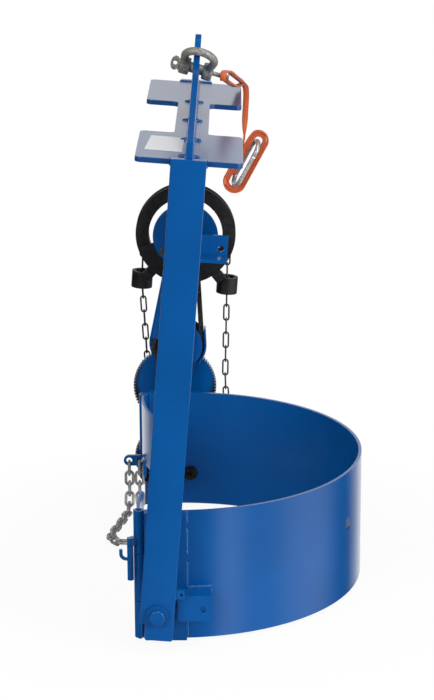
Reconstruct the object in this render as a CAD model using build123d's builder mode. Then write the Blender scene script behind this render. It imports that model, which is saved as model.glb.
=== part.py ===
"""Hoist-mounted drum lifter: a yoke, a tilting half-band drum holder and a hand-chain tilt drive.

Frame: the origin is the centre of the shackle pin in the lifting lug, on the load line. +Z points up along
the yoke, +Y runs along the tilt axis towards the hand-chain drive, +X points to the closed side of the band.
All sizes are in millimetres and all angles in degrees.
"""
import os
from math import acos, asin, atan2, ceil, cos, degrees, pi, radians, sin, sqrt, tan

from build123d import *

os.makedirs("parts", exist_ok=True)

# Fits
RUNNING = 0.05            # radial clearance of a shaft that turns in its bush
SEAT = 0.05               # radial clearance of a pin, bolt or bush in its hole
SIDE_GAP = 0.3            # end play between a turning piece and its neighbour

# Yoke: two flat-bar arms, the top plate between them and the lifting lug
ARM_WIDTH = 50.8
ARM_THICK = 12.7
ARM_INNER = 331.6         # half the clear width between the arms
ARM_BELOW_AXIS = 40.0
ARM_ABOVE_PLATE = 2.5
ARM_EDGE = 2.0
ARM_NOTCH = (8.5, 26.0)
PLATE_ABOVE_AXIS = 683.4
PLATE_WIDTH = 152.4
PLATE_THICK = 7.9
PLATE_WEB = 50.8
PLATE_NOTCH = 262.6
PLATE_CORNER = 9.0
PIN_ABOVE_PLATE = 76.0
LUG_THICK = 9.5
LUG_END = 26.0            # height of the lug above the plate at the arms
LUG_SHOULDER = (57.5, 87.0)
LUG_TOP_RADIUS = 25.0
LUG_TOP = 129.0
EYE_RADIUS = 17.5
EYE_ABOVE_PLATE = 84.0

# Angle bracket on the inner face of the far arm
BRACKET_REACH = 74.0
BRACKET_TOP = 423.0
BRACKET_LEG = 39.0
BRACKET_DEPTH = 48.0
BRACKET_THICK = 6.35
BRACKET_HOLE = (62.7, 400.0)
BRACKET_HOLE_RADIUS = 5.4

# Holder: half band, pads, pivots and hinges
HOLDER_TILT = 4.38        # the band stands level while the yoke leans back by this much
BAND_RADIUS = 295.0
BAND_WALL = 4.8
BAND_TOP = 146.5
BAND_HEIGHT = 203.2
BAND_OFFSET = 24.0
NEAR_END = 10.2           # how far the band runs past the tilt axis at its two ends
FAR_END = 13.0
NEAR_PAD_WIDTH = 86.0
PAD_OUTER = 304.5
FAR_PAD_WIDTH = 108.0
PIVOT_RADIUS = 12.7
BUSH_WALL = 3.2
FLANGE_RADIUS = 51.0
FLANGE_THICK = 9.5
FLANGE_BOLT_CIRCLE = 38.0
FLANGE_BOLT_RADIUS = 5.0
HINGE_RADIUS = 8.0
HINGE_PIN_RADIUS = 4.0
LEAF_SWING = 74.0         # both leaves stand swung this far into the mouth of the band
NEAR_LEAF_LENGTH = 79.0
FAR_LEAF_LENGTH = 150.0
FAR_LEAF_HEIGHT = 101.5

# Tilt drive: module of the gears, teeth, roller chain and hand chain
MODULE = 1.8
TILT_TEETH = 68
IDLER_TEETH = 80
PINION_TEETH = 12
PRESSURE_ANGLE = 20.0
ADDENDUM = 0.75 * MODULE
DEDENDUM = 1.05 * MODULE
BACKLASH = 0.26
DRIVE_SPROCKET = 12
DRIVEN_SPROCKET = 28
CHAIN_PITCH = 9.525
CHAIN_LINKS = 60
ROLLER_RADIUS = 2.54
SHAFT_RADIUS = 8.0
DRIVE_PLATE_THICK = 6.0
CHAIN_PLANE = 357.0
GEAR_PLANE = (372.0, 384.0)
DISC_PLANE = (378.0, 384.0)
GUIDE_PLANE = (384.0, 391.0)
WHEEL_PLANE = (395.0, 419.0)
WHEEL_RADIUS = 87.5
WHEEL_INNER = 64.5
HAND_PITCH_RADIUS = 74.0
HAND_WIRE = 3.0
HAND_WIDTH = 12.0
HAND_SPACING = 25.5
TUBE_RISE = 317.0
TUBE_PLACES = (-71.0, 79.0)
TUBE_OUTER = 18.5
TUBE_BORE = 12.0
TUBE_HEIGHT = 29.0
DISC_RADIUS = 57.0

# Shackle
BOW_WIRE = 12.7
SHACKLE_PIN_RADIUS = 8.0
JAW = 20.6
BOW_INSIDE = 33.0
BOW_LENGTH = 56.5         # pin centre to the middle of the bar at the crown
SHACKLE_SKEW = 12.0
SHACKLE_LEAN = 54.0
TAIL_RADIUS = 3.5

# Cinch chain
CINCH_WIRE = 4.8
CINCH_INSIDE = 19.5
CINCH_WIDTH = 17.4
CINCH_SLACK = 0.5

# Lanyard
STRAP_RADIUS = 1.7
STRAP_WIDTH = 10.0
STRAP_THICK = 3.0
HANK_PITCH = 3.6
HANK_TURNS = 3
HANK_INNER = 9.0
HANK_LENGTH = 81.0
HANK_END = 14.0
CARABINER_WIRE = 8.0
CARABINER_LENGTH = 92.0
CARABINER_WIDTH = 44.0
CARABINER_TURN = 14.0     # turned this far from standing square to the hank
CARABINER_DROP = 3.25     # settled on the hank's lowest inner layer

# Places that follow from the sizes above
ARM_OUTER = ARM_INNER + ARM_THICK
PLATE_Z = -PIN_ABOVE_PLATE
AXIS_Z = PLATE_Z - PLATE_ABOVE_AXIS
ARM_TOP = PLATE_ABOVE_AXIS + ARM_ABOVE_PLATE
BUSH_OUTER = PIVOT_RADIUS + BUSH_WALL
BAND_BOTTOM = BAND_TOP - BAND_HEIGHT
HINGE_CIRCLE = BAND_RADIUS - BAND_WALL / 2
IDLER_RISE = MODULE * (TILT_TEETH + IDLER_TEETH) / 2
LAY_RISE = IDLER_RISE + MODULE * (IDLER_TEETH + PINION_TEETH) / 2


def sprocket_radius(teeth):
    """Radius at which one tooth spans exactly one chain pitch of arc."""
    return teeth * CHAIN_PITCH / (2 * pi)


def chain_centres(links, small, large):
    """Distance between two sprocket shafts that a closed chain of `links` pitches just fills."""
    step = sprocket_radius(large) - sprocket_radius(small)
    centres = links * CHAIN_PITCH / 3
    for _ in range(40):
        lean = asin(step / centres)
        arcs = sprocket_radius(small) * (pi - 2 * lean) + sprocket_radius(large) * (pi + 2 * lean)
        centres = sqrt(((links * CHAIN_PITCH - arcs) / 2) ** 2 + step ** 2)
    return centres


CHAIN_CENTRES = chain_centres(CHAIN_LINKS, DRIVE_SPROCKET, DRIVEN_SPROCKET)
WHEEL_RISE = LAY_RISE + CHAIN_CENTRES
WHEEL_MID = (WHEEL_PLANE[0] + WHEEL_PLANE[1]) / 2

HOLDER = Plane(
    origin=(0, 0, AXIS_Z),
    x_dir=(cos(radians(HOLDER_TILT)), 0, sin(radians(HOLDER_TILT))),
    z_dir=(-sin(radians(HOLDER_TILT)), 0, cos(radians(HOLDER_TILT))),
)


def across(y, rise=0.0):
    """Upright plane across the tilt axis at y, `rise` above the axis; a negative extrusion runs to +Y."""
    return Plane(origin=(0, y, AXIS_Z + rise), x_dir=(1, 0, 0), z_dir=(0, -1, 0))


def holder_across(y):
    """The same kind of upright plane, turned with the holder."""
    return Plane(origin=HOLDER.from_local_coords((0, y, 0)), x_dir=HOLDER.x_dir, z_dir=(0, -1, 0))


def holder_level(z, x=0.0, y=0.0, turn=0.0):
    """Level plane of the holder at z, its x axis turned by `turn` about the holder's upright axis."""
    heading = HOLDER.x_dir * cos(radians(turn)) + HOLDER.y_dir * sin(radians(turn))
    return Plane(origin=HOLDER.from_local_coords((x, y, z)), x_dir=heading, z_dir=HOLDER.z_dir)


def save(piece, name):
    piece.part.label = name
    export_step(piece.part, f"parts/{name}.step")


def save_group(solids, name):
    group = Compound(solids)
    group.label = name
    export_step(group, f"parts/{name}.step")


def tangent_point(start, centre, radius, side):
    """Where the line from `start` touches a circle; side is +1 or -1 for the two lines."""
    gap = (centre[0] - start[0], centre[1] - start[1])
    far = sqrt(gap[0] ** 2 + gap[1] ** 2)
    heading = atan2(gap[1], gap[0]) + side * asin(radius / far)
    reach = sqrt(far ** 2 - radius ** 2)
    return (start[0] + reach * cos(heading), start[1] + reach * sin(heading))


def ring(inner, outer, height, plane):
    """A plain bush, washer or collar on a plane."""
    with BuildPart() as piece:
        with BuildSketch(plane):
            Circle(outer)
            Circle(inner, mode=Mode.SUBTRACT)
        extrude(amount=height)
    return piece


# Arms
with BuildPart() as near_arm:
    with BuildSketch(across(-ARM_OUTER)) as near_face:
        with Locations((0, (ARM_TOP - ARM_BELOW_AXIS) / 2)):
            Rectangle(ARM_WIDTH, ARM_TOP + ARM_BELOW_AXIS)
        with Locations((-ARM_WIDTH / 2, -ARM_BELOW_AXIS)):
            Rectangle(*ARM_NOTCH, align=(Align.MIN, Align.MIN), mode=Mode.SUBTRACT)
        fillet(near_face.vertices().group_by(Axis.Y)[0], radius=4.0)
        Circle(BUSH_OUTER + SEAT, mode=Mode.SUBTRACT)
    extrude(amount=-ARM_THICK)
    fillet(near_arm.edges().filter_by(Axis.Z).group_by(Axis.Y)[0].sort_by(Axis.X)[0::3], radius=ARM_EDGE)
save(near_arm, "near_arm")

SPACER_HOLES = ((-16.0, WHEEL_RISE + 33.0), (16.0, WHEEL_RISE + 33.0), (0.0, WHEEL_RISE - 36.0))
SPACER_BOLT_RADIUS = 3.0
DRIVE_BUSH_OUTER = SHAFT_RADIUS + 3.0
IDLER_PIN_RADIUS = 8.0
with BuildPart() as far_arm:
    with BuildSketch(across(ARM_INNER)) as far_face:
        with Locations((0, (ARM_TOP - ARM_BELOW_AXIS) / 2)):
            Rectangle(ARM_WIDTH, ARM_TOP + ARM_BELOW_AXIS)
        fillet(far_face.vertices().group_by(Axis.Y)[0], radius=4.0)
        Circle(BUSH_OUTER + SEAT, mode=Mode.SUBTRACT)
        with Locations((0, IDLER_RISE)):
            Circle(IDLER_PIN_RADIUS + SEAT, mode=Mode.SUBTRACT)
        with Locations((0, LAY_RISE), (0, WHEEL_RISE)):
            Circle(DRIVE_BUSH_OUTER + SEAT, mode=Mode.SUBTRACT)
        with Locations(*SPACER_HOLES):
            Circle(SPACER_BOLT_RADIUS + SEAT, mode=Mode.SUBTRACT)
    extrude(amount=-ARM_THICK)
    fillet(far_arm.edges().filter_by(Axis.Z).group_by(Axis.Y)[-1], radius=ARM_EDGE)
save(far_arm, "far_arm")

# Top plate, cut to an H, and the lifting lug standing on its web
with BuildPart() as top_plate:
    with BuildSketch(Plane.XY.offset(PLATE_Z - PLATE_THICK)) as plate_outline:
        Rectangle(PLATE_WIDTH, 2 * ARM_INNER)
        notch_width = (PLATE_WIDTH - PLATE_WEB) / 2
        with Locations((-PLATE_WIDTH / 2, 0)):
            Rectangle(notch_width, PLATE_NOTCH, align=(Align.MIN, Align.CENTER), mode=Mode.SUBTRACT)
        with Locations((PLATE_WIDTH / 2, 0)):
            Rectangle(notch_width, PLATE_NOTCH, align=(Align.MAX, Align.CENTER), mode=Mode.SUBTRACT)
        fillet(plate_outline.vertices(), radius=PLATE_CORNER)
    extrude(amount=PLATE_THICK)
save(top_plate, "top_plate")

with BuildPart() as lifting_lug:
    with BuildSketch(Plane(origin=(-LUG_THICK / 2, 0, PLATE_Z), x_dir=(0, 1, 0), z_dir=(1, 0, 0))):
        crown = (0.0, LUG_TOP - LUG_TOP_RADIUS)
        left_touch = tangent_point((-LUG_SHOULDER[0], LUG_SHOULDER[1]), crown, LUG_TOP_RADIUS, 1)
        right_touch = (-left_touch[0], left_touch[1])
        with BuildLine():
            Polyline((ARM_INNER, 0), (-ARM_INNER, 0), (-ARM_INNER, LUG_END),
                     (-LUG_SHOULDER[0], LUG_SHOULDER[1]), left_touch)
            ThreePointArc(left_touch, (0, LUG_TOP), right_touch)
            Polyline(right_touch, LUG_SHOULDER, (ARM_INNER, LUG_END), (ARM_INNER, 0))
        make_face()
        with Locations((0, EYE_ABOVE_PLATE)):
            Circle(EYE_RADIUS, mode=Mode.SUBTRACT)
    extrude(amount=LUG_THICK)
save(lifting_lug, "lifting_lug")

# Angle bracket on the far arm, with its pin hole
with BuildPart() as arm_bracket:
    with BuildSketch(across(ARM_INNER - BRACKET_THICK)):
        with Locations(((BRACKET_REACH - ARM_WIDTH / 2) / 2, BRACKET_TOP - BRACKET_LEG / 2)):
            Rectangle(BRACKET_REACH + ARM_WIDTH / 2, BRACKET_LEG)
        with Locations(BRACKET_HOLE):
            Circle(BRACKET_HOLE_RADIUS, mode=Mode.SUBTRACT)
    extrude(amount=-BRACKET_THICK)
    with BuildSketch(Plane.XY.offset(AXIS_Z + BRACKET_TOP - BRACKET_LEG)):
        with Locations(((BRACKET_REACH - ARM_WIDTH / 2) / 2, ARM_INNER)):
            Rectangle(BRACKET_REACH + ARM_WIDTH / 2, BRACKET_DEPTH, align=(Align.CENTER, Align.MAX))
    extrude(amount=BRACKET_THICK)
save(arm_bracket, "arm_bracket")

# Bushes of the tilt pivots and of the drive shafts
save(ring(PIVOT_RADIUS + RUNNING, BUSH_OUTER, -ARM_THICK, across(-ARM_OUTER)), "near_bush")
save(ring(PIVOT_RADIUS + RUNNING, BUSH_OUTER, -ARM_THICK, across(ARM_INNER)), "far_bush")
DRIVE_BUSH_LENGTH = ARM_THICK + DRIVE_PLATE_THICK
with BuildPart() as drive_bushes:
    with BuildSketch(across(ARM_INNER)):
        with Locations((0, LAY_RISE), (0, WHEEL_RISE)):
            Circle(DRIVE_BUSH_OUTER)
            Circle(SHAFT_RADIUS + RUNNING, mode=Mode.SUBTRACT)
    extrude(amount=-DRIVE_BUSH_LENGTH)
save(drive_bushes, "drive_bushes")

# Drive plate on the far arm: a round end over the driven sprocket, a neck behind the arm and a wing on its left
GUARD_INNER = sprocket_radius(DRIVEN_SPROCKET) + 4.8
GUARD_OUTER = GUARD_INNER + 3.2
NECK_INNER = sprocket_radius(DRIVE_SPROCKET) + 5.4
GUARD_CUT = (-30.0, 12.0, 34.0)   # heights above the lay shaft where the guard's wall starts and stops


def teardrop(low_radius, high_radius):
    """Outline that wraps the driven sprocket below and the drive sprocket above it."""
    with BuildSketch() as shape:
        with Locations((0, LAY_RISE)):
            Circle(low_radius)
        with Locations((0, WHEEL_RISE)):
            Circle(high_radius)
        make_hull()
    return shape.sketch


with BuildPart() as drive_plate:
    with BuildSketch(across(ARM_OUTER)):
        add(teardrop(GUARD_INNER, NECK_INNER))
        with Locations((0, LAY_RISE + GUARD_CUT[1])):
            Rectangle(120, WHEEL_RISE - LAY_RISE - GUARD_CUT[1] - 26.0, align=(Align.MAX, Align.MIN),
                      mode=Mode.INTERSECT)
        with Locations((0, LAY_RISE)):
            Circle(GUARD_INNER - 4.0)
            Rectangle(ARM_WIDTH - 4.0, WHEEL_RISE - LAY_RISE - 26.0, align=(Align.CENTER, Align.MIN))
        with Locations((-46.0, LAY_RISE - 10.0)):
            Circle(21.0, mode=Mode.SUBTRACT)
        with Locations((0, LAY_RISE)):
            Circle(DRIVE_BUSH_OUTER + SEAT, mode=Mode.SUBTRACT)
        with Locations(SPACER_HOLES[2]):
            Circle(9.0, mode=Mode.SUBTRACT)
    extrude(amount=-DRIVE_PLATE_THICK)
save(drive_plate, "drive_plate")

GUARD_PLANE = (ARM_OUTER + 3.2, 366.0)
with BuildPart() as chain_guard:
    with BuildSketch(across(GUARD_PLANE[0])):
        add(teardrop(GUARD_OUTER, NECK_INNER + 3.0))
        add(teardrop(GUARD_INNER, NECK_INNER), mode=Mode.SUBTRACT)
        with Locations((0, LAY_RISE + GUARD_CUT[1])):
            Rectangle(120, 120, align=(Align.MAX, Align.MAX), mode=Mode.SUBTRACT)
        with Locations((0, LAY_RISE + GUARD_CUT[0])):
            Rectangle(46, 120, align=(Align.MIN, Align.MAX), mode=Mode.SUBTRACT)
        with Locations((0, LAY_RISE + GUARD_CUT[2])):
            Rectangle(120, 300, align=(Align.MIN, Align.MIN), mode=Mode.SUBTRACT)
    extrude(amount=-(GUARD_PLANE[1] - GUARD_PLANE[0]))
    with BuildSketch(across(GUARD_PLANE[1] - 2.6)):
        with Locations((0, LAY_RISE)):
            Circle(GUARD_OUTER)
            Circle(20.0, mode=Mode.SUBTRACT)
    extrude(amount=-2.6)
save(chain_guard, "chain_guard")

# Wheel disc on three spacers, with the chain guide bolted to its back
with BuildPart() as wheel_disc:
    with BuildSketch(across(DISC_PLANE[0])):
        with Locations((0, WHEEL_RISE)):
            Circle(DISC_RADIUS)
            Circle(SHAFT_RADIUS + 1.0, mode=Mode.SUBTRACT)
        with Locations(*SPACER_HOLES):
            Circle(SPACER_BOLT_RADIUS + SEAT, mode=Mode.SUBTRACT)
        with Locations((0, WHEEL_RISE)):
            with PolarLocations(48.0, 2, start_angle=219.0, angular_range=102.0):
                Circle(4.0 + SEAT, mode=Mode.SUBTRACT)
    extrude(amount=-(DISC_PLANE[1] - DISC_PLANE[0]))
save(wheel_disc, "wheel_disc")

with BuildPart() as disc_spacers:
    with BuildSketch(across(ARM_OUTER)):
        with Locations(*SPACER_HOLES):
            Circle(5.0)
            Circle(SPACER_BOLT_RADIUS + SEAT, mode=Mode.SUBTRACT)
    extrude(amount=-(DISC_PLANE[0] - ARM_OUTER))
save(disc_spacers, "disc_spacers")

with BuildPart() as disc_bolts:
    with BuildSketch(across(ARM_INNER + 2.0)):
        with Locations(*SPACER_HOLES):
            Circle(SPACER_BOLT_RADIUS)
    extrude(amount=-(GUIDE_PLANE[1] - ARM_INNER - 2.0))
save(disc_bolts, "disc_bolts")

TUBE_DROP = TUBE_RISE - WHEEL_RISE
GUIDE_OUTER = 86.0
GUIDE_ARC = (198.0, 144.0)


def guide_neck(place, near, far):
    """Plan of a neck from the guide's rim towards a tube, between two distances from the wheel's centre."""
    reach = sqrt(place ** 2 + TUBE_DROP ** 2)
    ahead = (place / reach, TUBE_DROP / reach)
    aside = (-ahead[1] * 9.0, ahead[0] * 9.0)
    with BuildSketch() as plan:
        Polygon((ahead[0] * near + aside[0], ahead[1] * near + aside[1]),
                (ahead[0] * near - aside[0], ahead[1] * near - aside[1]),
                (ahead[0] * far - aside[0], ahead[1] * far - aside[1]),
                (ahead[0] * far + aside[0], ahead[1] * far + aside[1]), align=None)
    return plan.sketch


with BuildPart() as chain_guide:
    with BuildSketch(across(GUIDE_PLANE[0], WHEEL_RISE)):
        with BuildLine():
            rim_arc = CenterArc((0, 0), GUIDE_OUTER, *GUIDE_ARC)
            hub_arc = CenterArc((0, 0), DISC_RADIUS - 7.0, *GUIDE_ARC)
            Line(rim_arc @ 0, hub_arc @ 0)
            Line(rim_arc @ 1, hub_arc @ 1)
        make_face()
        Circle(DISC_RADIUS - 3.0)
        for place in TUBE_PLACES:
            add(guide_neck(place, GUIDE_OUTER - 8.0, 103.0))
        Circle(SHAFT_RADIUS + 1.0, mode=Mode.SUBTRACT)
        with PolarLocations(48.0, 2, start_angle=219.0, angular_range=102.0):
            Circle(4.0 + SEAT, mode=Mode.SUBTRACT)
        with Locations(*[(x, rise - WHEEL_RISE) for x, rise in SPACER_HOLES]):
            Circle(SPACER_BOLT_RADIUS + SEAT, mode=Mode.SUBTRACT)
    extrude(amount=-(GUIDE_PLANE[1] - GUIDE_PLANE[0]))
    with BuildSketch(across(GUIDE_PLANE[0], WHEEL_RISE)):
        for place in TUBE_PLACES:
            add(guide_neck(place, WHEEL_RADIUS + 2.0, 103.0))
    extrude(amount=-(WHEEL_PLANE[0] + 3.0 - GUIDE_PLANE[0]))
    with BuildSketch(Plane.XY.offset(AXIS_Z + TUBE_RISE - TUBE_HEIGHT / 2)):
        with Locations(*[(place, WHEEL_MID) for place in TUBE_PLACES]):
            Circle(TUBE_OUTER)
    extrude(amount=TUBE_HEIGHT)
    with BuildSketch(Plane.XY.offset(AXIS_Z + TUBE_RISE - TUBE_HEIGHT / 2)):
        with Locations(*[(place, WHEEL_MID) for place in TUBE_PLACES]):
            Circle(TUBE_BORE)
    extrude(amount=TUBE_HEIGHT + 14.0, mode=Mode.SUBTRACT)
save(chain_guide, "chain_guide")

with BuildPart() as guide_bolts:
    with BuildSketch(across(DISC_PLANE[0] - 5.0, WHEEL_RISE)):
        with PolarLocations(48.0, 2, start_angle=219.0, angular_range=102.0):
            RegularPolygon(7.0, 6)
    extrude(amount=-5.0)
    with BuildSketch(across(DISC_PLANE[0], WHEEL_RISE)):
        with PolarLocations(48.0, 2, start_angle=219.0, angular_range=102.0):
            Circle(4.0)
    extrude(amount=-(GUIDE_PLANE[1] - DISC_PLANE[0]))
save(guide_bolts, "guide_bolts")


# Gears and sprockets
def gear_outline(teeth, first):
    """Points of a spur gear's outline, with a tooth centred at the angle `first`."""
    pitch_radius = MODULE * teeth / 2
    base_radius = pitch_radius * cos(radians(PRESSURE_ANGLE))
    root, tip = pitch_radius - DEDENDUM, pitch_radius + ADDENDUM
    spread = tan(radians(PRESSURE_ANGLE)) - radians(PRESSURE_ANGLE)
    half_tooth = pi / (2 * teeth) - BACKLASH / (4 * pitch_radius)
    low = max(root + 0.2, base_radius)
    flank = []
    for step in range(4):
        radius = low + (tip - low) * step / 3
        roll = acos(min(1.0, base_radius / radius))
        flank.append((radius, half_tooth + spread - (tan(roll) - roll)))
    points = []
    for tooth in range(teeth):
        middle = radians(first) + 2 * pi * tooth / teeth
        rising = [(root, flank[0][1])] + flank
        for radius, half in rising:
            points.append((radius * cos(middle - half), radius * sin(middle - half)))
        for radius, half in reversed(rising):
            points.append((radius * cos(middle + half), radius * sin(middle + half)))
    return points


def sprocket_outline(teeth, first):
    """Points of a roller-chain sprocket's outline, with a gap centred at the angle `first`."""
    seat = ROLLER_RADIUS + 0.3
    pitch_radius = sprocket_radius(teeth)
    gap = [(-4.1, 2.4), (-seat - 0.2, 0.3), (-0.87 * seat, -0.5 * seat), (-0.5 * seat, -0.87 * seat)]
    gap.append((0.0, -seat))
    gap += [(-along, out) for along, out in reversed(gap[:-1])]
    points = []
    for tooth in range(teeth):
        angle = radians(first) + 2 * pi * tooth / teeth
        for along, out in gap:
            radius = pitch_radius + out
            points.append((radius * cos(angle) - along * sin(angle), radius * sin(angle) + along * cos(angle)))
    return points


def toothed(outline, rise, start, width, bore, hub=None):
    """A gear or sprocket on a shaft `rise` above the tilt axis; hub gives its start, its end and its radius."""
    with BuildPart() as piece:
        with BuildSketch(across(start, rise)):
            with BuildLine():
                Polyline(*outline, close=True)
            make_face()
            Circle(bore, mode=Mode.SUBTRACT)
        extrude(amount=-width)
        if hub:
            with BuildSketch(across(hub[0], rise)):
                Circle(hub[2])
                Circle(bore, mode=Mode.SUBTRACT)
            extrude(amount=-(hub[1] - hub[0]))
    return piece


GEAR_WIDTH = GEAR_PLANE[1] - GEAR_PLANE[0]
SPROCKET_WIDTH = 4.3
NUT_HEIGHT = 7.0

# Hand wheel on its shaft, with the drive sprocket and a nut
SHAFT_START = ARM_INNER + 0.6
with BuildPart() as wheel_shaft:
    with BuildSketch(across(SHAFT_START, WHEEL_RISE)):
        Circle(SHAFT_RADIUS)
    extrude(amount=-(WHEEL_PLANE[1] + 3.0 + NUT_HEIGHT - SHAFT_START))
save(wheel_shaft, "wheel_shaft")

SPROCKET_START = CHAIN_PLANE - SPROCKET_WIDTH / 2
HUB_START = ARM_OUTER + DRIVE_PLATE_THICK + SIDE_GAP
drive_sprocket = toothed(sprocket_outline(DRIVE_SPROCKET, 90.0), WHEEL_RISE, SPROCKET_START, SPROCKET_WIDTH,
                         SHAFT_RADIUS + SEAT, hub=(HUB_START, DISC_PLANE[0] - SIDE_GAP, 12.0))
save(drive_sprocket, "drive_sprocket")

SPOKE_WIDTH = 16.0
with BuildPart() as pocket_wheel:
    with BuildSketch(Plane(origin=(0, 0, AXIS_Z + WHEEL_RISE), x_dir=(0, 1, 0), z_dir=(1, 0, 0))):
        with BuildLine():
            Polyline((WHEEL_PLANE[0], WHEEL_INNER), (WHEEL_PLANE[0], WHEEL_RADIUS),
                     (WHEEL_MID - 8.6, WHEEL_RADIUS),
                     (WHEEL_MID - 6.4, 70.4), (WHEEL_MID - 2.3, 70.4), (WHEEL_MID - 2.3, 66.8),
                     (WHEEL_MID + 2.3, 66.8), (WHEEL_MID + 2.3, 70.4), (WHEEL_MID + 6.4, 70.4),
                     (WHEEL_MID + 8.6, WHEEL_RADIUS), (WHEEL_PLANE[1], WHEEL_RADIUS),
                     (WHEEL_PLANE[1], WHEEL_INNER),
                     close=True)
        make_face()
    revolve(axis=Axis((0, 0, AXIS_Z + WHEEL_RISE), (0, 1, 0)))
    with BuildSketch(across(WHEEL_MID - 5.0, WHEEL_RISE)):
        with PolarLocations(WHEEL_INNER / 2 + 8.0, 3, start_angle=90.0):
            Rectangle(WHEEL_INNER - 14.0, SPOKE_WIDTH)
    extrude(amount=-10.0)
    with BuildSketch(across(GUIDE_PLANE[1] + SIDE_GAP, WHEEL_RISE)):
        Circle(20.0)
    extrude(amount=-(WHEEL_PLANE[1] + 3.0 - GUIDE_PLANE[1] - SIDE_GAP))
    with BuildSketch(across(GUIDE_PLANE[1], WHEEL_RISE)):
        Circle(SHAFT_RADIUS + SEAT)
    extrude(amount=-60.0, mode=Mode.SUBTRACT)
save(pocket_wheel, "pocket_wheel")


def nut(plane, bore, across_corners):
    with BuildPart() as piece:
        with BuildSketch(plane):
            RegularPolygon(across_corners, 6)
            Circle(bore + SEAT, mode=Mode.SUBTRACT)
        extrude(amount=-NUT_HEIGHT)
    return piece


save(nut(across(WHEEL_PLANE[1] + 3.0, WHEEL_RISE), SHAFT_RADIUS, 14.0), "wheel_nut")

# Lay shaft: driven sprocket and pinion
PINION_BORE = 5.0
PINION_START = GEAR_PLANE[0] - 1.0
PINION_WIDTH = GEAR_WIDTH + 2.0
with BuildPart() as lay_shaft:
    with BuildSketch(across(SHAFT_START, LAY_RISE)):
        Circle(SHAFT_RADIUS)
    extrude(amount=-(PINION_START - SHAFT_START))
    with BuildSketch(across(PINION_START, LAY_RISE)):
        Circle(PINION_BORE)
    extrude(amount=-(PINION_WIDTH + NUT_HEIGHT))
save(lay_shaft, "lay_shaft")

driven_sprocket = toothed(sprocket_outline(DRIVEN_SPROCKET, 270.0), LAY_RISE, SPROCKET_START, SPROCKET_WIDTH,
                          SHAFT_RADIUS + SEAT, hub=(HUB_START, PINION_START, 16.0))
save(driven_sprocket, "driven_sprocket")
pinion_outline = gear_outline(PINION_TEETH, 270.0)
save(toothed(pinion_outline, LAY_RISE, PINION_START, PINION_WIDTH, PINION_BORE + SEAT), "pinion")
save(nut(across(PINION_START + PINION_WIDTH, LAY_RISE), PINION_BORE, 9.5), "lay_nut")

# Idler gear on a fixed pin
IDLER_HEAD = 4.0
with BuildPart() as idler_pin:
    with BuildSketch(across(ARM_INNER, IDLER_RISE)):
        Circle(IDLER_PIN_RADIUS)
    extrude(amount=-(GEAR_PLANE[1] + SIDE_GAP - ARM_INNER))
    with BuildSketch(across(GEAR_PLANE[1] + SIDE_GAP, IDLER_RISE)):
        Circle(14.0)
    extrude(amount=-IDLER_HEAD)
save(idler_pin, "idler_pin")

idler_outline = gear_outline(IDLER_TEETH, 270.0 + 180.0 / IDLER_TEETH)
idler_gear = toothed(idler_outline, IDLER_RISE, GEAR_PLANE[0], GEAR_WIDTH,
                     IDLER_PIN_RADIUS + RUNNING, hub=(ARM_OUTER + SIDE_GAP, GEAR_PLANE[0], 18.0))
save(idler_gear, "idler_gear")

# Tilt shaft: a flange bolted to the far pad, running through the far bush to the tilt gear
SHOULDER_RADIUS = 20.0
TILT_END = GEAR_PLANE[1] + NUT_HEIGHT
BOLT_PLACES = ((FLANGE_BOLT_CIRCLE, 0), (0, FLANGE_BOLT_CIRCLE),
               (-FLANGE_BOLT_CIRCLE, 0), (0, -FLANGE_BOLT_CIRCLE))
with BuildPart() as tilt_shaft:
    with BuildSketch(holder_across(PAD_OUTER)):
        Circle(FLANGE_RADIUS)
        with Locations(*BOLT_PLACES):
            Circle(FLANGE_BOLT_RADIUS + SEAT, mode=Mode.SUBTRACT)
    extrude(amount=-FLANGE_THICK)
    with BuildSketch(holder_across(PAD_OUTER)):
        Circle(SHOULDER_RADIUS)
    extrude(amount=-(ARM_INNER - SIDE_GAP - PAD_OUTER))
    with BuildSketch(holder_across(PAD_OUTER)):
        Circle(PIVOT_RADIUS)
    extrude(amount=-(TILT_END - PAD_OUTER))
save(tilt_shaft, "tilt_shaft")

tilt_gear = toothed(gear_outline(TILT_TEETH, 90.0), 0.0, GEAR_PLANE[0], GEAR_WIDTH, PIVOT_RADIUS + SEAT,
                    hub=(ARM_OUTER + SIDE_GAP, GEAR_PLANE[0], 21.0))
save(tilt_gear, "tilt_gear")
save(nut(holder_across(GEAR_PLANE[1]), PIVOT_RADIUS, 20.0), "tilt_nut")


# Chains of links, each link placed between two joints of a path
def oval_link(wire, inside, width):
    """One welded link lying in XY, long along X: a round bar bent to an oval."""
    bend = (width - wire) / 2
    half = (inside + wire) / 2 - bend
    with BuildPart() as link:
        with BuildLine():
            Line((-half, bend), (half, bend))
            ThreePointArc((half, bend), (half + bend, 0), (half, -bend))
            Line((half, -bend), (-half, -bend))
            ThreePointArc((-half, -bend), (-half - bend, 0), (-half, bend))
        with BuildSketch(Plane(origin=(-half, bend, 0), x_dir=(0, 1, 0), z_dir=(1, 0, 0))):
            Circle(wire / 2)
        sweep()
    return link.part


def place_links(link, joints, wide):
    """A copy of the link between each two joints; wide(heading, index) is the way its width points."""
    solids = []
    for index in range(len(joints) - 1):
        start, end = joints[index], joints[index + 1]
        heading = (end - start).normalized()
        side = wide(heading, index)
        solids.append(link.moved(Plane((start + end) * 0.5, heading, heading.cross(side)).location))
    return solids


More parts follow.
